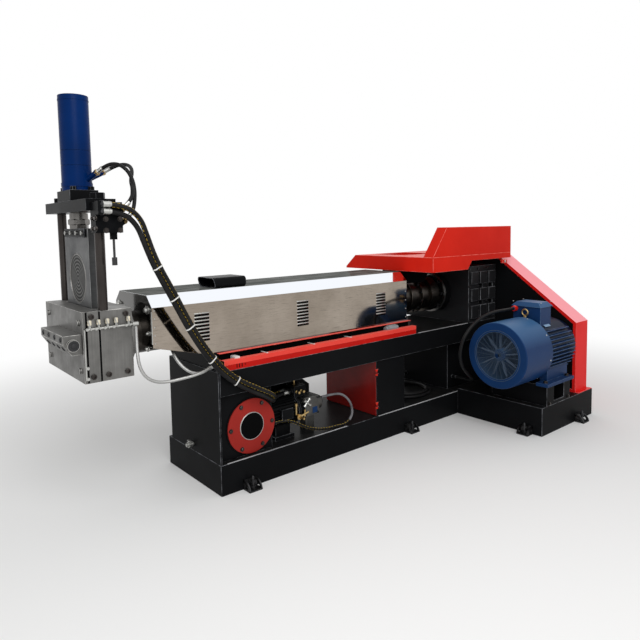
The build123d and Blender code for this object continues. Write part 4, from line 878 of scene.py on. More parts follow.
def repeated(name, part, places, material, body="frame", spin=0.0, seed=1, replaces=()):
    """Copies of a part at (place, facing, turn) entries, joined in one piece."""
    shape = bpy.data.meshes.new(name + "_part")
    part.normal_update()
    part.to_mesh(shape)
    part.free()
    sample = link(bpy.data.objects.new(name + "_part", shape))
    cloud = bpy.data.meshes.new(name + "_points")
    cloud.from_pydata([place for place, _, _ in places], [], [])
    facing = cloud.attributes.new("facing", "FLOAT_VECTOR", "POINT")
    facing.data.foreach_set("vector", [value for _, direction, _ in places for value in direction])
    turn = cloud.attributes.new("turn", "FLOAT", "POINT")
    turn.data.foreach_set("value", [angle for _, _, angle in places])
    holder = link(bpy.data.objects.new(name + "_points", cloud))
    modifier = holder.modifiers.new("repeat", "NODES")
    modifier.node_group = REPEAT
    for label, value in (("Part", sample), ("Finish", material), ("Spin", spin), ("Seed", seed)):
        modifier[REPEAT_INPUT[label]] = value
    made = bpy.data.meshes.new_from_object(holder.evaluated_get(bpy.context.evaluated_depsgraph_get()))
    bm = bmesh.new()
    bm.from_mesh(made)
    for obj in (holder, sample):
        bpy.data.objects.remove(obj)
    for mesh in (made, cloud, shape):
        bpy.data.meshes.remove(mesh)
    for face in bm.faces:
        face.material_index = 0
    return finish_piece(bm, name, material, body, replaces, weighted=False)


def hex_bolt(radius, height):
    """A hexagon head with a rounded top on a washer."""
    washer = 0.25 * height
    bm = turned(bmesh.new(), [(0, 1.3 * radius), (washer, 1.25 * radius)], 20)
    return turned(bm, [(washer, radius), (0.85 * height, radius), (height, 0.82 * radius)], 6)


def cap_screw(radius, height):
    """A round head with a socket."""
    profile = ((0, 1), (0.85, 1), (1, 0.88), (1, 0.55), (0.4, 0.5))
    return turned(bmesh.new(), [(up * height, out * radius) for up, out in profile], 18)


def dome(radius, height):
    """A rivet or a round screw head."""
    profile = ((0, 0), (0, 1), (0.55, 0.85), (0.9, 0.45), (1, 0))
    return turned(bmesh.new(), [(up * height, out * radius) for up, out in profile], 12, closed=False)


def placed(points, facing, turn=0.0):
    return [(point, facing, turn) for point in points]


def row(first, last, count, facing):
    """Even places from one end to the other."""
    start, end = Vector(first), Vector(last)
    return placed([start.lerp(end, number / max(1, count - 1)) for number in range(count)], facing)


def ring_of(centre, axis, radius, count, start=0.0, outwards=False):
    """Places round a circle, facing along the axis or outwards."""
    axis = Vector(axis).normalized()
    side = axis.orthogonal().normalized()
    up = axis.cross(side)
    places = []
    for number in range(count):
        turn = start + 2 * math.pi * number / count
        out = math.cos(turn) * side + math.sin(turn) * up
        places.append((Vector(centre) + radius * out, out if outwards else axis, 0.0))
    return places


# Hoses with their ties and ends
MAIN_ROUTES = (SUPPLY_ROUTE, RETURN_ROUTE)
VALVE_ROUTES = (VALVE_LOW_ROUTE, VALVE_HIGH_ROUTE)
MAIN_WIDTH = 0.027
VALVE_WIDTH = 0.020
RIBBED_WIDTH = 0.018
MAIN_TIES = (0.235, 0.335, 0.43, 0.555, 0.665)
TIE_WIDTH = 0.007
TIE_THICKNESS = 0.002
TIE_LOCK_HALF = 0.0045
TIE_STEPS = 10
TIE_SLACK = 0.0005
GUIDE_STEP = 0.005
CONDUIT_PITCH = 0.006
CONDUIT_DEPTH = 0.0009


def tie_round(bm, first, second, radius, ahead):
    """A flat band that holds two hoses together, with its lock."""
    ahead = ahead.normalized()
    apart = second - first
    apart = (apart - ahead * apart.dot(ahead)).normalized()
    across = ahead.cross(apart)
    half = TIE_WIDTH / 2
    rings = []
    for centre, sign in ((second, 1), (first, -1)):
        for number in range(TIE_STEPS + 1):
            turn = -math.pi / 2 + math.pi * number / TIE_STEPS
            out = sign * (math.cos(turn) * apart + math.sin(turn) * across)
            rings.append([
                bm.verts.new(centre + (radius + rise) * out + side * ahead)
                for rise, side in ((0, -half), (TIE_THICKNESS, -half), (TIE_THICKNESS, half), (0, half))
            ])
    for number, near in enumerate(rings):
        far = rings[(number + 1) % len(rings)]
        for corner in range(4):
            after = (corner + 1) % 4
            bm.faces.new((near[corner], near[after], far[after], far[corner]))
    lock = second + (radius + TIE_THICKNESS) * across
    block(bm, [part - TIE_LOCK_HALF for part in lock], [part + TIE_LOCK_HALF for part in lock])
    outward(bm)


def main_hose_ties():
    """Ties at shares of the supply hose's length."""
    supply = even_points(spline_points("supply_guide", SUPPLY_ROUTE), GUIDE_STEP)
    back = even_points(spline_points("return_guide", RETURN_ROUTE), GUIDE_STEP)
    bm = bmesh.new()
    for share in MAIN_TIES:
        index = round(share * (len(supply) - 1))
        here = supply[index]
        beside = min(back, key=lambda point: (point - here).length)
        tie_round(bm, here, beside, MAIN_WIDTH / 2 + TIE_SLACK, supply[index + 1] - supply[index - 1])
    return finish_piece(bm, "main_hose_ties", WHITE_PLASTIC, weighted=False)


def hose_tips(routes):
    """The first and last place of each route, facing along its hose."""
    tips = [(route[0], route[1]) for route in routes] + [(route[-1], route[-2]) for route in routes]
    return [(place, (Vector(ahead) - Vector(place)).normalized(), 0.0) for place, ahead in tips]


def hose_ends(name, routes, width):
    """Pressed sleeves on the hose ends."""
    profile = (
        (0, 1.25), (0.008, 1.25), (0.009, 1.12), (0.030, 1.12), (0.031, 1.2), (0.036, 1.2), (0.037, 1.08),
        (0.044, 1.08),
    )
    sleeve = turned(bmesh.new(), [(along, out * width / 2) for along, out in profile], 20)
    return repeated(name, sleeve, hose_tips(routes), BRIGHT_STEEL)


def union_nuts(name, routes, radius, material):
    """Hexagon union nuts at the foot of the hose ends."""
    profile = ((-0.014, 1.3), (-0.012, 1.5), (0.002, 1.5), (0.004, 1.3))
    nut = turned(bmesh.new(), [(along, out * radius) for along, out in profile], 6)
    return repeated(name, nut, hose_tips(routes), material, spin=1.0, seed=4)


ties = main_hose_ties()
main_sleeves = hose_ends("main_hose_sleeves", MAIN_ROUTES, MAIN_WIDTH)
valve_sleeves = hose_ends("valve_hose_sleeves", VALVE_ROUTES, VALVE_WIDTH)
union_nuts("valve_hose_union_nuts", VALVE_ROUTES, 0.0115, BRASS)
union_nuts("main_hose_union_nuts", MAIN_ROUTES, MAIN_WIDTH / 2, DARK_STEEL)

smooth_hose(
    "hose_supply_line", SUPPLY_ROUTE, MAIN_WIDTH, 2.022, HOSE_DASHED, ["hose_supply"],
    pieces=[ties, main_sleeves],
)
smooth_hose("hose_return_line", RETURN_ROUTE, MAIN_WIDTH, 1.963, HOSE_BLACK, ["hose_return"])
smooth_hose(
    "valve_hose_low_line", VALVE_LOW_ROUTE, VALVE_WIDTH, 0.557, HOSE_BLACK, ["valve_hose_low"],
    pieces=[valve_sleeves],
)
smooth_hose("valve_hose_high_line", VALVE_HIGH_ROUTE, VALVE_WIDTH, 0.596, HOSE_BLACK, ["valve_hose_high"])
ribbed_hose(
    "pump_hose_line", PUMP_ROUTE, RIBBED_WIDTH, 1.053, [HOSE_DASHED, HOSE_GREY], ["pump_hose"], 0.009, 0.0012,
    change=0.62,
)
for side, route, length in (("front", CONDUIT_FRONT_ROUTE, 0.792), ("back", CONDUIT_BACK_ROUTE, 0.503)):
    node = "conduit_" + side
    ribbed_hose(
        node + "_line", route, RIBBED_WIDTH, length, CONDUIT_STEEL, [node], CONDUIT_PITCH, CONDUIT_DEPTH
    )
smooth_hose("motor_cable_line", MOTOR_CABLE_ROUTE, 0.024, 1.540, HOSE_BLACK, ["motor_cable"])
smooth_hose(
    "coil_cable_line", coil_route(), 0.026, 4.7, HOSE_BLACK, ["cable_coil", "coil_lead_in", "coil_lead_out"],
    sides=RIB_SIDES, lay="coiled", stiffness="medium",
)


# Base, beam and gearbox
for node in (
    "base_plinth", "motor_base", "motor_rails", "main_beam", "end_plate", "oil_tank", "gearbox_pedestal",
    "bearing_housing", "barrel_saddles", "guard_back_plate", "top_plate", "cylinder_flange", "hand_valve",
    "vent_chute",
):
    dress(node, BLACK)

BEAM_SIDE = 0.349
BARREL_AXIS = (0, 1.0)
BASE_EDGE = 0.1895
BEAM_EDGE = 0.7545
EDGE_HEIGHT = 0.0025
RIB_RISE = 0.018
RIB_WIDTH = 0.098
# Painted highlight: pale strips along the front top edges of the base and beam.
edge_highlight_strips = bmesh.new()
for left, right, edge in ((-2.242, -1.27, BASE_EDGE), (-0.95, 0.19, BASE_EDGE), (-0.5, 0.14, BEAM_EDGE)):
    block(edge_highlight_strips, (left, -0.3485, edge), (right, -0.342, edge + EDGE_HEIGHT))
finish_piece(edge_highlight_strips, "worn_edge_lines", EDGE_HIGHLIGHT_PAINT, weighted=False)


def quarter_arc(reach, height, steps=8):
    angles = [math.pi / 2 * number / steps for number in range(steps + 1)]
    return [(reach * math.sin(angle), height * math.cos(angle)) for angle in angles]


def levelling_clip():
    """A foot plate between two arched straps, with the levelling bolt and its nuts."""
    half, strap, bolt = 0.046, 0.009, (0, -0.037, 0)
    bm = blocks(((-half, -0.074, 0), (half, 0, strap)))
    stand = Matrix(((0, 0, 1, 0), (-1, 0, 0, 0), (0, 1, 0, 0), (0, 0, 0, 1)))
    for x in (-half, half - strap):
        arch = quarter_arc(0.074, 0.062) + quarter_arc(0.056, 0.046)[::-1]
        plate(bm, arch, strap, Matrix.Translation((x, 0, 0)) @ stand)
    block(bm, (-half, -strap, 0), (half, 0, 0.062))
    turned(bm, [(0, 0.008), (0.084, 0.008), (0.088, 0.006)], 16, bolt)
    for low, high, radius in ((0.009, 0.013, 0.02), (0.013, 0.027, 0.0155), (0.05, 0.064, 0.0155)):
        turned(bm, [(low, radius), (high, radius)], 6, bolt)
    return outward(bm)


repeated(
    "levelling_clip_set", levelling_clip(),
    placed([(-2.092, -BEAM_SIDE, 0), (-0.623, -BEAM_SIDE, 0), (0.551, -1.115, 0)], UP)
    + placed([(0, -0.993, 0)], UP, -math.pi / 2)
    + placed([(-2.092, 0.347, 0), (-0.623, 0.347, 0)], UP, math.pi),
    DARK_STEEL, replaces=["levelling_clips"],
)

gearbox = clean_copy("gearbox_housing")
for side in (-1, 1):
    for x in (0.172, 0.297, 0.422):
        for low, high in ((0.79, 0.9), (0.94, 1.045), (1.085, 1.19)):
            near, far = sorted((side * BEAM_SIDE, side * (BEAM_SIDE + RIB_RISE)))
            block(gearbox, (x, near, low), (x + RIB_WIDTH, far, high))
round_edges(gearbox, EDGE_WIDTH)
finish_piece(gearbox, "gearbox_ribbed", GEAR_BLACK, replaces=["gearbox_housing"])
repeated(
    "gearbox_bolts", hex_bolt(0.009, 0.009),
    [entry for side in (-1, 1) for z in (0.768, 0.92, 1.065, 1.215)
     for entry in row((0.16, side * BEAM_SIDE, z), (0.535, side * BEAM_SIDE, z), 4, (0, side, 0))],
    DARK_STEEL,
)
thrust_ring = turned_ring(
    bmesh.new(), [(0, 0.15), (0, 0.166), (0.018, 0.1695), (0.018, 0.165), (0.004, 0.15)], 72,
    (0.055, *BARREL_AXIS), RIGHT,
)
finish_piece(merged(thrust_ring), "thrust_ring", COUPLING_STEEL)

# Cabinet: its side towards the pump is red
CABINET_RED_SIDE = -0.961
cabinet = round_edges(clean_copy("control_cabinet"), 0.002)
for face in cabinet.faces:
    face.material_index = int(face.calc_center_median().x < CABINET_RED_SIDE)
finish_piece(cabinet, "control_cabinet_painted", [BLACK, RED], replaces=["control_cabinet"])
dress("cabinet_door", DARK_RED, 0.0015)

# Tank hatch: a black neck, the red cover, and a black plate in a bright ring
HATCH = (-2.044, -0.304, 0.371)
hatch = bmesh.new()
for profile, sides, index in (
    (((0, 0.179), (0.005, 0.179)), 96, 1),
    (((0.005, 0.172), (0.013, 0.172), (0.014, 0.169)), 96, 0),
    (((0.014, 0.088), (0.0165, 0.086)), 72, 2),
    (((0.0165, 0.083), (0.0175, 0.082)), 72, 3),
):
    turned(hatch, profile, sides, HATCH, OUT, index)
finish_piece(
    hatch, "tank_hatch_face", [HATCH_RED, BLACK, BRIGHT_STEEL, PIT_SHADE_BLACK],
    replaces=["tank_hatch"], weighted=False,
)
hatch_places = ring_of((HATCH[0], -0.318, HATCH[2]), OUT, 0.152, 6, 0.26)
repeated("hatch_bolts", hex_bolt(0.011, 0.009), hatch_places, ROD_STEEL, spin=1.0, seed=7)
dress("drain_tap", BRIGHT_STEEL, 0.001)

# Cable tray with its cables, lip, ties, junction, gland and slots
TRAY_LEFT = -2.245
TRAY_RIGHT = -0.53
TRAY_FRONT = -0.346
TRAY_STEP = -0.3
TRAY_BACK = -0.268
TRAY_LOW_TOP = 0.812
TRAY_HIGH_TOP = 0.848
tray = clean_copy("cable_tray")
block(tray, (TRAY_LEFT, -0.326, 0.813), (TRAY_RIGHT, -0.308, 0.817))
block(tray, (TRAY_LEFT, -0.296, 0.849), (TRAY_RIGHT, -0.288, 0.853))
round_edges(tray, 0.0012)
# Painted shade: the faces inside the tray below its tops are painted near-black.
for face in tray.faces:
    _, y, z = face.calc_center_median()
    below = z < TRAY_LOW_TOP or (y > TRAY_STEP and z < TRAY_HIGH_TOP)
    face.material_index = int(TRAY_FRONT < y < TRAY_BACK and below)
finish_piece(tray, "cable_tray_painted", [TRAY_RED, PIT_SHADE_BLACK], replaces=["cable_tray"])
cables = bmesh.new()
for y, z, radius in (
    (-0.318, 0.772, 0.011), (-0.294, 0.771, 0.010), (-0.307, 0.791, 0.011), (-0.285, 0.790, 0.009),
):
    turned(cables, [(0, radius), (1.68, radius)], 14, (-2.225, y, z), RIGHT)
finish_piece(cables, "tray_cables", LEVER_PLASTIC, weighted=False)
# Painted highlight: a thin pale red strip on the tray's front face.
lip = blocks(((TRAY_LEFT, -0.3505, 0.789), (TRAY_RIGHT, -0.3485, 0.8175)))
finish_piece(round_edges(lip, 0.0006), "tray_front_lip", LIP_HIGHLIGHT_RED)
tray_tie = blocks(
    ((-0.005, -0.343, 0.8175), (0.005, -0.27, 0.8195)), ((-0.006, -0.342, 0.806), (0.006, -0.334, 0.8215))
)
tie_places = placed([(x, 0, 0) for x in (-1.93, -1.55, -1.215)], UP)
repeated("tray_ties", tray_tie, tie_places, WHITE_PLASTIC)
junction = round_edges(blocks(((-2.16, -0.333, 0.795), (-2.125, -0.275, 0.828))), 0.003)
finish_piece(junction, "tray_junction", WHITE_PLASTIC)
gland = turned(
    bmesh.new(), [(0, 0.018), (0.02, 0.018), (0.022, 0.026), (0.11, 0.026), (0.112, 0.018), (0.13, 0.018)],
    20, (-0.83, -0.305, 0.822), RIGHT,
)
finish_piece(gland, "tray_gland", GREY_PLASTIC, weighted=False)
# Painted shade: the slots and the hole in the beam are painted near-black.
slots = turned(bmesh.new(), [(-0.001, 0.004), (0.0007, 0.004)], 12, (-2.1, -BEAM_SIDE, 0.778), OUT)
for x in (-2.159, -2.141, -2.123):
    block(slots, (x - 0.003, -0.3497, 0.765), (x + 0.003, -0.348, 0.79))
finish_piece(slots, "tray_slots", PIT_SHADE_BLACK, weighted=False)

# Polished cover with its louvres, rivets and end frame
dress("barrel_cover", MIRROR, 0.0015)
COVER_SIDE = 0.265
COVER_END = -2.6435
LOUVRE_SETS = ((-2.392, 0.955), (-1.637, 0.955), (-0.888, 0.94))
LOUVRES_IN_SET = 8
LOUVRE_PITCH = 0.0215
LOUVRE_MIDDLE = 0.055


def louvre(length, rise, reach):
    """A pressed ridge, round at its ends."""
    half = length / 2
    steps = ((0, 0), (0.002, 0.5 * rise), (0.006, rise))
    profile = [(along - half, out) for along, out in steps]
    profile += [(half - along, out) for along, out in steps[::-1]]
    return turned(bmesh.new(), profile, 16, (0, 0, reach), RIGHT, closed=False)


def louvre_places(drop):
    return [
        ((left + LOUVRE_MIDDLE, side * COVER_SIDE, low + LOUVRE_PITCH * number - drop), (0, side, 0), 0.0)
        for side in (-1, 1) for left, low in LOUVRE_SETS for number in range(LOUVRES_IN_SET)
    ]


repeated("cover_louvres", louvre(0.106, 0.0045, 0.0), louvre_places(0), BRIGHT_STEEL)
# Painted shade: a near-black copy under each louvre stands for the shade in its opening.
repeated(
    "cover_louvre_gaps", louvre(0.104, 0.0076, -0.0045), louvre_places(0.0106), PIT_SHADE_BLACK
)
rivets = []
for side in (-1, 1):
    for x, low in ((-2.63, 0.965), (-0.556, 0.88)):
        rivets += row((x, side * COVER_SIDE, low), (x, side * COVER_SIDE, 1.15), 5, (0, side, 0))
repeated("cover_rivets", dome(0.0045, 0.0025), rivets, BRIGHT_STEEL)
end_frame = bmesh.new()
for side in (-1, 1):
    near, far = sorted((side * 0.2655, side * 0.249))
    block(end_frame, (-2.648, near, 0.962), (COVER_END, far, 1.145))
    for y, z, size in ((0.205, 1.15, 0.024), (0.22, 1.02, 0.014), (0.2, 0.93, 0.017)):
        knob = [(0, size), (0.006, size), (0.008, 0.6 * size), (0.02, 0.55 * size)]
        turned(end_frame, knob, 20, (COVER_END, side * y, z), LEFT)
finish_piece(end_frame, "cover_end_frame", BRIGHT_STEEL)

# Feed hopper, with painted shade below the hood's edge, and the barrel's free length
HOPPER_SHADE_LINE = 1.236
hopper = round_edges(clean_copy("feed_hopper"), 0.001)
everything = hopper.verts[:] + hopper.edges[:] + hopper.faces[:]
bmesh.ops.bisect_plane(hopper, geom=everything, plane_co=(0, 0, HOPPER_SHADE_LINE), plane_no=UP)
for face in hopper.faces:
    face.material_index = int(face.calc_center_median().z < HOPPER_SHADE_LINE)
finish_piece(
    hopper, "feed_hopper_painted", [RED, PIT_SHADE_BLACK], replaces=["feed_hopper"]
)
dress("barrel", BARREL_STEEL, 0.002)
COLLAR_INSIDE = 0.12
LAST_COLLAR = -0.205
collars = bmesh.new()
for x, width, radius in (
    (-0.50, 0.035, 0.149), (-0.455, 0.02, 0.138), (-0.33, 0.05, 0.142), (LAST_COLLAR, 0.03, 0.149),
):
    profile = [(0, COLLAR_INSIDE), (0, radius), (width, radius), (width, COLLAR_INSIDE)]
    turned_ring(collars, profile, 64, (x, *BARREL_AXIS), RIGHT)
finish_piece(round_edges(merged(collars), 0.002), "barrel_collars", BARREL_STEEL)
collar_places = ring_of((LAST_COLLAR, *BARREL_AXIS), LEFT, 0.136, 12)
repeated("barrel_collar_bolts", hex_bolt(0.009, 0.012), collar_places, DARK_STEEL)

# Hood and guard
for node in ("feed_hood", "hood_screen"):
    dress(node, RED, 0.002)
guard = clean_copy("belt_guard")
block(guard, (0.566, -1.113, 0.2172), (0.794, -1.084, 0.2222))
finish_piece(round_edges(guard, 0.002), "belt_guard_painted", GUARD_RED, replaces=["belt_guard"])
bracket = round_edges(blocks(((0.40, -0.515, 1.262), (0.47, -0.497, 1.29))), 0.002)
finish_piece(bracket, "hood_bracket", RED)
bracket_place = placed([(0.435, -0.515, 1.276)], OUT, 0.3)
repeated("hood_bracket_bolt", hex_bolt(0.009, 0.008), bracket_place, BRIGHT_STEEL)
GUARD_SIDE_BOLTS = ((-1.03, 0.3), (-1.03, 0.72), (-0.3, 1.27), (0.2, 1.25), (0.24, 0.3))
repeated(
    "guard_bolts", hex_bolt(0.011, 0.008),
    row((0.777, -1.0, 0.195), (0.777, 0.22, 0.195), 6, UP)
    + placed([(0.76, y, z) for y, z in GUARD_SIDE_BOLTS], RIGHT),
    BRIGHT_STEEL, spin=1.0, seed=3,
)

# Die head
for node in ("die_front_plate", "die_rear_plate", "die_lip_bar"):
    dress(node, HEAD_STEEL)
dress("die_neck", HEAD_STEEL, 0.001)
LIP_SLOPE = Vector((-0.832, 0, -0.555))
repeated(
    "lip_screws", cap_screw(0.013, 0.004),
    row((-3.128, 0.045, 1.057), (-3.128, -0.265, 1.057), 4, LEFT)
    + row((-3.108, 0.02, 1.005), (-3.108, -0.24, 1.005), 4, LIP_SLOPE),
    DARK_STEEL,
)
HEAD_BOLTS = ((-2.992, 0.856), (-2.915, 0.856), (-2.815, 0.856), (-2.992, 1.165), (-2.815, 1.165))
head_places = [((x, side * 0.325, z), (0, side, 0), 0.0) for side in (-1, 1) for x, z in HEAD_BOLTS]
repeated("head_foot_bolts", cap_screw(0.014, 0.010), head_places, ROD_STEEL)
JOINT_WIDTH = 0.009
head_joints = bmesh.new()
for side in (-1, 1):
    near, far = sorted((side * 0.3245, side * 0.3258))
    for x in (-3.022, -2.956):
        block(head_joints, (x, near, 0.826), (x + JOINT_WIDTH, far, 1.19))
finish_piece(head_joints, "head_joints", PIT_SHADE_BLACK, weighted=False)
PLUG = (-3.082, -0.3235, 1.027)
plug = bmesh.new()
turned(plug, [(0, 0), (0, 0.027), (0.0015, 0.027), (0.0015, 0.018), (0, 0.0175)], 36, PLUG, OUT, closed=False)
turned(plug, [(0, 0.013), (0.004, 0.013), (0.0045, 0.012)], 6, PLUG, OUT)
finish_piece(plug, "lip_end_plug", DARK_STEEL, weighted=False)

# Heater rail with its ceramic terminals and leads
RAIL_Y = -0.337
RAIL_Z = 1.104
TERMINALS = (-3.005, -2.960, -2.915, -2.870, -2.805)
CERAMIC = ((0, 0.009), (0.006, 0.0105), (0.012, 0.009), (0.018, 0.0105), (0.024, 0.009), (0.026, 0.005))
rail = turned(bmesh.new(), [(0, 0.006), (0.26, 0.006)], 16, (-3.018, RAIL_Y, RAIL_Z), RIGHT)
for x in TERMINALS:
    turned(rail, [(0, 0.0065), (0.016, 0.0065)], 12, (x, RAIL_Y, 1.108), UP)
    turned(rail, CERAMIC, 18, (x, RAIL_Y, 1.124), UP, 1)
turned(rail, [(0, 0.011), (0.03, 0.011)], 16, (-2.784, RAIL_Y, RAIL_Z), RIGHT)
finish_piece(
    rail, "heater_rail_terminals", [BRIGHT_STEEL, CREAM_CERAMIC], replaces=["heater_rail"],
    weighted=False,
)
lead = turned(bmesh.new(), [(0, 0.004), (0.26, 0.004)], 10, (-3.029, -0.3295, 0.842))
for x in TERMINALS:
    turned(lead, [(0, 0.003), (0.055, 0.003)], 8, (x + 0.005, RAIL_Y - 0.008, 1.098), (-0.25, 0, 1))
    turned(lead, [(0, 0.008), (0.009, 0.008)], 6, (x - 0.014, RAIL_Y, RAIL_Z), OUT)
for z in (0.85, 0.905):
    turned(lead, [(0, 0.009), (0.012, 0.008)], 14, (-3.022, -0.325, z), OUT)
finish_piece(lead, "heater_lead", BRIGHT_STEEL, weighted=False)

# Screen slide with the filter faces and its clamp
dress("screen_slide", SLIDE_STEEL, 0.0015)
filters = bmesh.new()
for x, axis in ((-2.943, LEFT), (-2.907, RIGHT)):
    turned_ring(filters, [(0, 0.128), (0, 0.137), (0.0035, 0.136), (0.0035, 0.129)], 72, (x, *FILTER), axis)
    turned(filters, [(0, 0.128), (0.0015, 0.128)], 72, (x, *FILTER), axis, 1)
finish_piece(
    merged(filters), "slide_filter_faces", [COUPLING_STEEL, FILTER_MESH], "slide",
    weighted=False,
)
CLAMP_LEFT = -2.957
CLAMP_RIGHT = -2.893
CLAMP_BOLT_Z = 1.589
clamp = round_edges(blocks(((CLAMP_LEFT, -0.17, 1.565), (CLAMP_RIGHT, 0.17, 1.613))), 0.004)
finish_piece(clamp, "slide_clamp", BLACK, "slide")
repeated(
    "slide_clamp_bolts", cap_screw(0.011, 0.008),
    [entry for x, facing in ((CLAMP_LEFT, LEFT), (CLAMP_RIGHT, RIGHT))
     for entry in row((x, -0.14, CLAMP_BOLT_Z), (x, 0.14, CLAMP_BOLT_Z), 4, facing)],
    BRIGHT_STEEL, body="slide",
)

# Press frame, cylinder and hand valve
PRESS_AXIS = (-2.925, 0)
dress("tie_rods", ROD_STEEL, 0.001)
dress("piston_rod", COUPLING_STEEL, 0.002)
coupling = turned(
    bmesh.new(),
    [(0, 0.05), (0.005, 0.056), (0.028, 0.056), (0.033, 0.05), (0.033, 0.042), (0.05, 0.042), (0.054, 0.038)],
    6, (*PRESS_AXIS, 1.632),
)
finish_piece(coupling, "coupling_nut", COUPLING_STEEL, "slide")
dress("cylinder_tube", CYLINDER_BLUE, 0.001)
BAND_INSIDE = 0.0776
bands = bmesh.new()
for z, height, radius in ((2.298, 0.007, 0.0795), (1.84, 0.02, 0.081)):
    profile = [(0, BAND_INSIDE), (0, radius), (height, radius), (height, BAND_INSIDE)]
    turned_ring(bands, profile, 64, (*PRESS_AXIS, z))
finish_piece(merged(bands), "cylinder_bands", CYLINDER_BLUE, weighted=False)
cap_places = ring_of((*PRESS_AXIS, 2.3205), UP, 0.058, 8)
repeated("cylinder_cap_screws", cap_screw(0.008, 0.004), cap_places, DARK_STEEL)
repeated(
    "valve_caps", hex_bolt(0.0105, 0.010),
    placed([(x, -0.467, z) for x in (-2.945, -2.875) for z in (1.6, 1.655)], OUT)
    + placed([(-2.98, y, z) for y in (-0.385, -0.435) for z in (1.61, 1.66)], LEFT),
    ROD_STEEL, spin=1.0, seed=5,
)
dress("valve_lever", LEVER_PLASTIC, 0.001)

# Motor
dress("motor_frame", FIN_BLUE, 0.001)
dress("motor_cowl", MOTOR_BLUE, 0.001)
dress("terminal_box", MOTOR_BLUE, 0.0015)
dress("lifting_eye", BRASS, 0.001)
GRILLE_FACE = (-0.2685, *MOTOR)
GRILLE_INSIDE = 0.018
GRILLE_OUTSIDE = 0.1765
GRILLE_RINGS = 23
GRILLE_PITCH = 0.0071
GRILLE_SPOKES = 24
WIRE_SIDES = 6


def wire_ring(bm, centre, radius, wire, steps=72):
    """A closed ring of wire about the motor's axis."""
    angles = [2 * math.pi * side / WIRE_SIDES for side in range(WIRE_SIDES)]
    rings = []
    for number in range(steps):
        turn = 2 * math.pi * number / steps
        out = Vector((0, math.cos(turn), math.sin(turn)))
        middle = Vector(centre) + radius * out
        rings.append([
            bm.verts.new(middle + wire * (math.cos(a) * out + math.sin(a) * Vector(RIGHT))) for a in angles
        ])
    for number, near in enumerate(rings):
        far = rings[(number + 1) % steps]
        for corner in range(WIRE_SIDES):
            after = (corner + 1) % WIRE_SIDES
            bm.faces.new((near[corner], near[after], far[after], far[corner]))


grille = bmesh.new()
for number in range(GRILLE_RINGS):
    wire_ring(grille, GRILLE_FACE, GRILLE_INSIDE + GRILLE_PITCH * number, 0.0008)
wire_ring(grille, GRILLE_FACE, GRILLE_OUTSIDE, 0.0014)
wire_ring(grille, (-0.2695, *MOTOR), 0.189, 0.0022, 96)
for number in range(GRILLE_SPOKES):
    turn = 2 * math.pi * number / GRILLE_SPOKES
    spoke = [(GRILLE_INSIDE, 0.0011), (GRILLE_OUTSIDE, 0.0011)]
    turned(grille, spoke, 6, GRILLE_FACE, (0, math.cos(turn), math.sin(turn)))
finish_piece(
    outward(grille), "fan_guard_wires", WIRE_BLUE, replaces=["fan_grille"], weighted=False
)

FAN_BLADES = 9
FAN_BLADE = ((0, 0.1), (0.004, 0.166), (0.018, 0.166), (0.026, 0.1), (0.03, 0.044), (0.004, 0.044))


def fan_wheel():
    """Thin blades on a blue hub with its shaft and key."""
    hub = [(0, 0.040), (0.006, 0.046), (0.066, 0.046), (0.066, 0.02), (0.3637, 0.02)]
    bm = turned(bmesh.new(), hub, 40, (-0.236, *MOTOR), RIGHT, 1)
    stand = Matrix(((1, 0, 0, -0.233), (0, 0, 1, -0.002), (0, 1, 0, 0), (0, 0, 0, 1)))
    for number in range(FAN_BLADES):
        turn = Matrix.Rotation(2 * math.pi * number / FAN_BLADES, 4, "X")
        plate(bm, FAN_BLADE, 0.004, Matrix.Translation((0, *MOTOR)) @ turn @ stand)
    y, z, half = *MOTOR, 0.012
    block(bm, (-0.2362, y - half, z - half), (-0.2345, y + half, z + half), 2)
    return outward(bm)


finish_piece(
    fan_wheel(), "fan_wheel", [FAN_PLASTIC, MOTOR_BLUE, PIT_SHADE_BLACK], "fan", ["cooling_fan"],
    weighted=False,
)
repeated(
    "cowl_screws", dome(0.006, 0.003),
    ring_of((0.065, *MOTOR), RIGHT, 0.2468, 8, 0.2, outwards=True)
    + placed([(0.138 + 0.148 * a, MOTOR[0] + 0.118 * b, 0.9865) for a in (0, 1) for b in (-1, 1)], UP),
    BRIGHT_STEEL,
)
foot_places = placed([(x, y, 0.4) for x in (0.06, 0.38) for y in (-1.105, -0.695)], UP)
repeated("motor_foot_bolts", hex_bolt(0.014, 0.016), foot_places, ROD_STEEL, spin=1.0, seed=2)
rail_places = row((0.1, -1.115, 0.235), (0.385, -1.115, 0.235), 2, OUT)
repeated("rail_bolts", hex_bolt(0.011, 0.012), rail_places, ROD_STEEL)
repeated(
    "motor_name_plate", blocks(((-0.04, -0.012, 0), (0.04, 0.012, 0.0015))),
    placed([(0.221, -1.0235, 0.8065)], (0, -0.565, 0.825)), PLATE_BLUE,
)
collar = turned_ring(
    bmesh.new(), [(0, 0.0125), (0, 0.021), (0.022, 0.023), (0.03, 0.023), (0.03, 0.0125)], 24,
    (0.102, -0.805, 0.93), RIGHT,
)
finish_piece(merged(collar), "cable_gland_collar", RED, weighted=False)

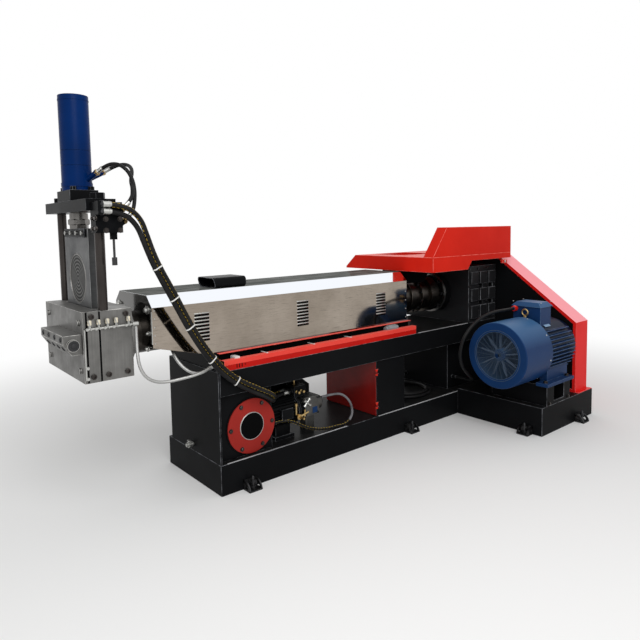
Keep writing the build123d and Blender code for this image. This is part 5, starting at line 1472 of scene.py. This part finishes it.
# Hydraulic unit
PUMP = (-0.17, 0.358)
UPRIGHT = Matrix.Rotation(math.pi / 2, 4, "X")
pump_body = turned(
    bmesh.new(),
    [(0, 0.094), (0.004, 0.098), (0.022, 0.098), (0.022, 0.08), (0.236, 0.08), (0.236, 0.098), (0.252, 0.098),
     (0.258, 0.074), (0.308, 0.074)],
    56, (-1.868, *PUMP), RIGHT,
)
block(pump_body, (-1.82, -0.245, 0.19), (-1.66, -0.095, 0.215))
block(pump_body, (-1.80, -0.225, 0.21), (-1.68, -0.115, 0.30))
block(pump_body, (-1.79, -0.29, 0.335), (-1.70, -0.262, 0.405))
finish_piece(
    round_edges(pump_body, 0.0015), "pump_motor_body", BLACK, replaces=["pump_motor"],
    weighted=False,
)
FIN_OUTLINE = ((-0.107, 0), (0.107, 0), (0.107, 0.02), (-0.107, 0.02))
fin = outward(plate(bmesh.new(), FIN_OUTLINE, 0.003, Matrix.Translation((0, 0.0015, 0)) @ UPRIGHT))
fin_places = ring_of((-1.739, *PUMP), RIGHT, 0.0785, 28, 0.05, outwards=True)
repeated("pump_motor_fins", fin, fin_places, BLACK)
vent = blocks(((-0.0012, -0.0012, 0), (0.0012, 0.0012, 0.05)))
vent_places = ring_of((-1.8685, *PUMP), RIGHT, 0.035, 24, outwards=True)
repeated("pump_motor_vents", vent, vent_places, BRIGHT_STEEL)
pump = blocks(((-1.56, -0.228, 0.292), (-1.425, -0.112, 0.424)))
turned(pump, [(0, 0.05), (0.036, 0.05), (0.04, 0.046)], 32, (-1.425, *PUMP), RIGHT)
block(pump, (-1.53, -0.205, 0.19), (-1.455, -0.135, 0.3))
round_edges(pump, 0.003)
block(pump, (-1.485, -0.2295, 0.305), (-1.443, -0.2275, 0.347), 1)
finish_piece(pump, "oil_pump_body", [CAST_STEEL, MOTOR_BLUE], replaces=["oil_pump"])
repeated(
    "pump_bolts", cap_screw(0.008, 0.007),
    placed([(x, -0.228, z) for x in (-1.547, -1.438) for z in (0.305, 0.411)], OUT)
    + ring_of((-1.385, *PUMP), RIGHT, 0.036, 6),
    DARK_STEEL,
)
dress("manifold", BLACK, 0.002)
BACKING_OUTLINE = ((-1.842, 0.40), (-1.38, 0.40), (-1.38, 0.462), (-1.56, 0.603), (-1.842, 0.603))
backing = plate(bmesh.new(), BACKING_OUTLINE, 0.004, Matrix.Translation((0, -0.058, 0)) @ UPRIGHT)
finish_piece(outward(backing), "pump_backing_sheet", BLACK, weighted=False)
FITTING = (
    (0, 0.008), (0.01, 0.009), (0.012, 0.006), (0.03, 0.006), (0.032, 0.009), (0.04, 0.009), (0.042, 0.004),
)
fittings = bmesh.new()
for profile, sides, place, axis in (
    (FITTING, 12, (-1.625, -0.225, 0.485), OUT),
    (FITTING, 12, (-1.585, -0.225, 0.485), OUT),
    (((0, 0.007), (0.06, 0.007), (0.06, 0.011), (0.078, 0.011)), 12, (-1.661, -0.27, 0.342), UP),
    (((0, 0.010), (0.02, 0.010), (0.02, 0.007), (0.075, 0.007)), 12, (-1.63, -0.27, 0.322), (1, 0, 0.25)),
    (((0, 0.010), (0.014, 0.010), (0.014, 0.006), (0.045, 0.006)), 12, (-1.59, -0.27, 0.318), (0.1, 0, 1)),
    (((0, 0.012), (0.016, 0.014), (0.018, 0.008), (0.05, 0.008)), 12, (-1.6, -0.17, 0.508), UP),
    (((0, 0.02), (0.012, 0.02), (0.014, 0.008), (0.06, 0.008)), 6, (-1.65, -0.283, 0.33), OUT),
):
    turned(fittings, profile, sides, place, axis)
finish_piece(fittings, "manifold_fittings", BRASS, weighted=False)
CROSS = (-1.567, -0.27, 0.405)
CROSS_ARM = ((0, 0.008), (0.022, 0.008), (0.023, 0.012), (0.034, 0.012))
cross = bmesh.new()
for direction in ((1, 0, 1), (-1, 0, -1), (1, 0, -0.8), (-1, 0, 0.9)):
    turned(cross, CROSS_ARM, 12, CROSS, direction)
turned(cross, [(0, 0.014), (0.04, 0.014)], 16, CROSS, (0, 1, 0))
finish_piece(cross, "hydraulic_cross", BRIGHT_STEEL, weighted=False)


# Studio
AMBIENT = 0.62
KEY_LIGHT = (-3.6, -4.2, 4.6)
KEY_SIZE = 4.0
KEY_POWER = 190
FLOOR_HALF = 14
FLOOR_COLOUR = (0.86, 0.86, 0.855)
FADE_START = 2.2
FADE_END = 5.5
MIDDLE = (Vector(cad_box[0]) + Vector(cad_box[1])) / 2


def seen_rays(tree):
    """1 for camera, mirror and glass rays."""
    rays = add_node(tree, "ShaderNodeLightPath").outputs
    first = calc(tree, "MAXIMUM", rays["Is Camera Ray"], rays["Is Glossy Ray"])
    return calc(tree, "MAXIMUM", first, rays["Is Transmission Ray"])


def add_world():
    world = bpy.data.worlds.new("studio")
    world.use_nodes = True
    tree = world.node_tree
    sky = tree.nodes["Background"]
    sky.inputs["Color"].default_value = (1, 1, 1, 1)
    tree.links.new(spread(tree, seen_rays(tree), AMBIENT, 1.0), sky.inputs["Strength"])
    bpy.context.scene.world = world


def add_floor():
    """Pale floor that keeps the shadow near the object and fades to white further out."""
    bm = bmesh.new()
    bmesh.ops.create_grid(bm, x_segments=8, y_segments=8, size=FLOOR_HALF)
    mesh = bpy.data.meshes.new("floor")
    bm.to_mesh(mesh)
    bm.free()
    floor = link(bpy.data.objects.new("floor", mesh))
    centre = (MIDDLE.x, MIDDLE.y, 0)
    mesh.transform(Matrix.Translation(centre))
    material, tree, shader = start_material("pale_floor", Roughness=0.9, Specular_IOR_Level=0.0)
    shader.inputs["Base Color"].default_value = (*FLOOR_COLOUR, 1)
    offset = vector_calc(tree, "SUBTRACT", own_place(tree), centre)[0]
    reach = vector_calc(tree, "LENGTH", offset)["Value"]
    fade = ranged(tree, reach, FADE_START, FADE_END, interpolation_type="SMOOTHSTEP")
    white = add_node(tree, "ShaderNodeEmission", {"Color": (1, 1, 1, 1), "Strength": 1.0})
    faded = calc(tree, "MULTIPLY", fade, seen_rays(tree))
    mix = add_node(tree, "ShaderNodeMixShader", {0: faded, 1: shader.outputs[0], 2: white.outputs[0]})
    tree.links.new(mix.outputs[0], tree.nodes["Material Output"].inputs["Surface"])
    mesh.materials.append(material)


def add_lamp():
    lamp = bpy.data.lights.new("key", "AREA")
    lamp.shape = "DISK"
    lamp.size = KEY_SIZE
    lamp.energy = KEY_POWER
    holder = link(bpy.data.objects.new("key", lamp))
    aim = MIDDLE - Vector(KEY_LIGHT)
    holder.matrix_world = Matrix.Translation(KEY_LIGHT) @ aim.to_track_quat("-Z", "Y").to_matrix().to_4x4()


add_world()
add_floor()
add_lamp()
bpy.context.scene.view_settings.view_transform = "Standard"
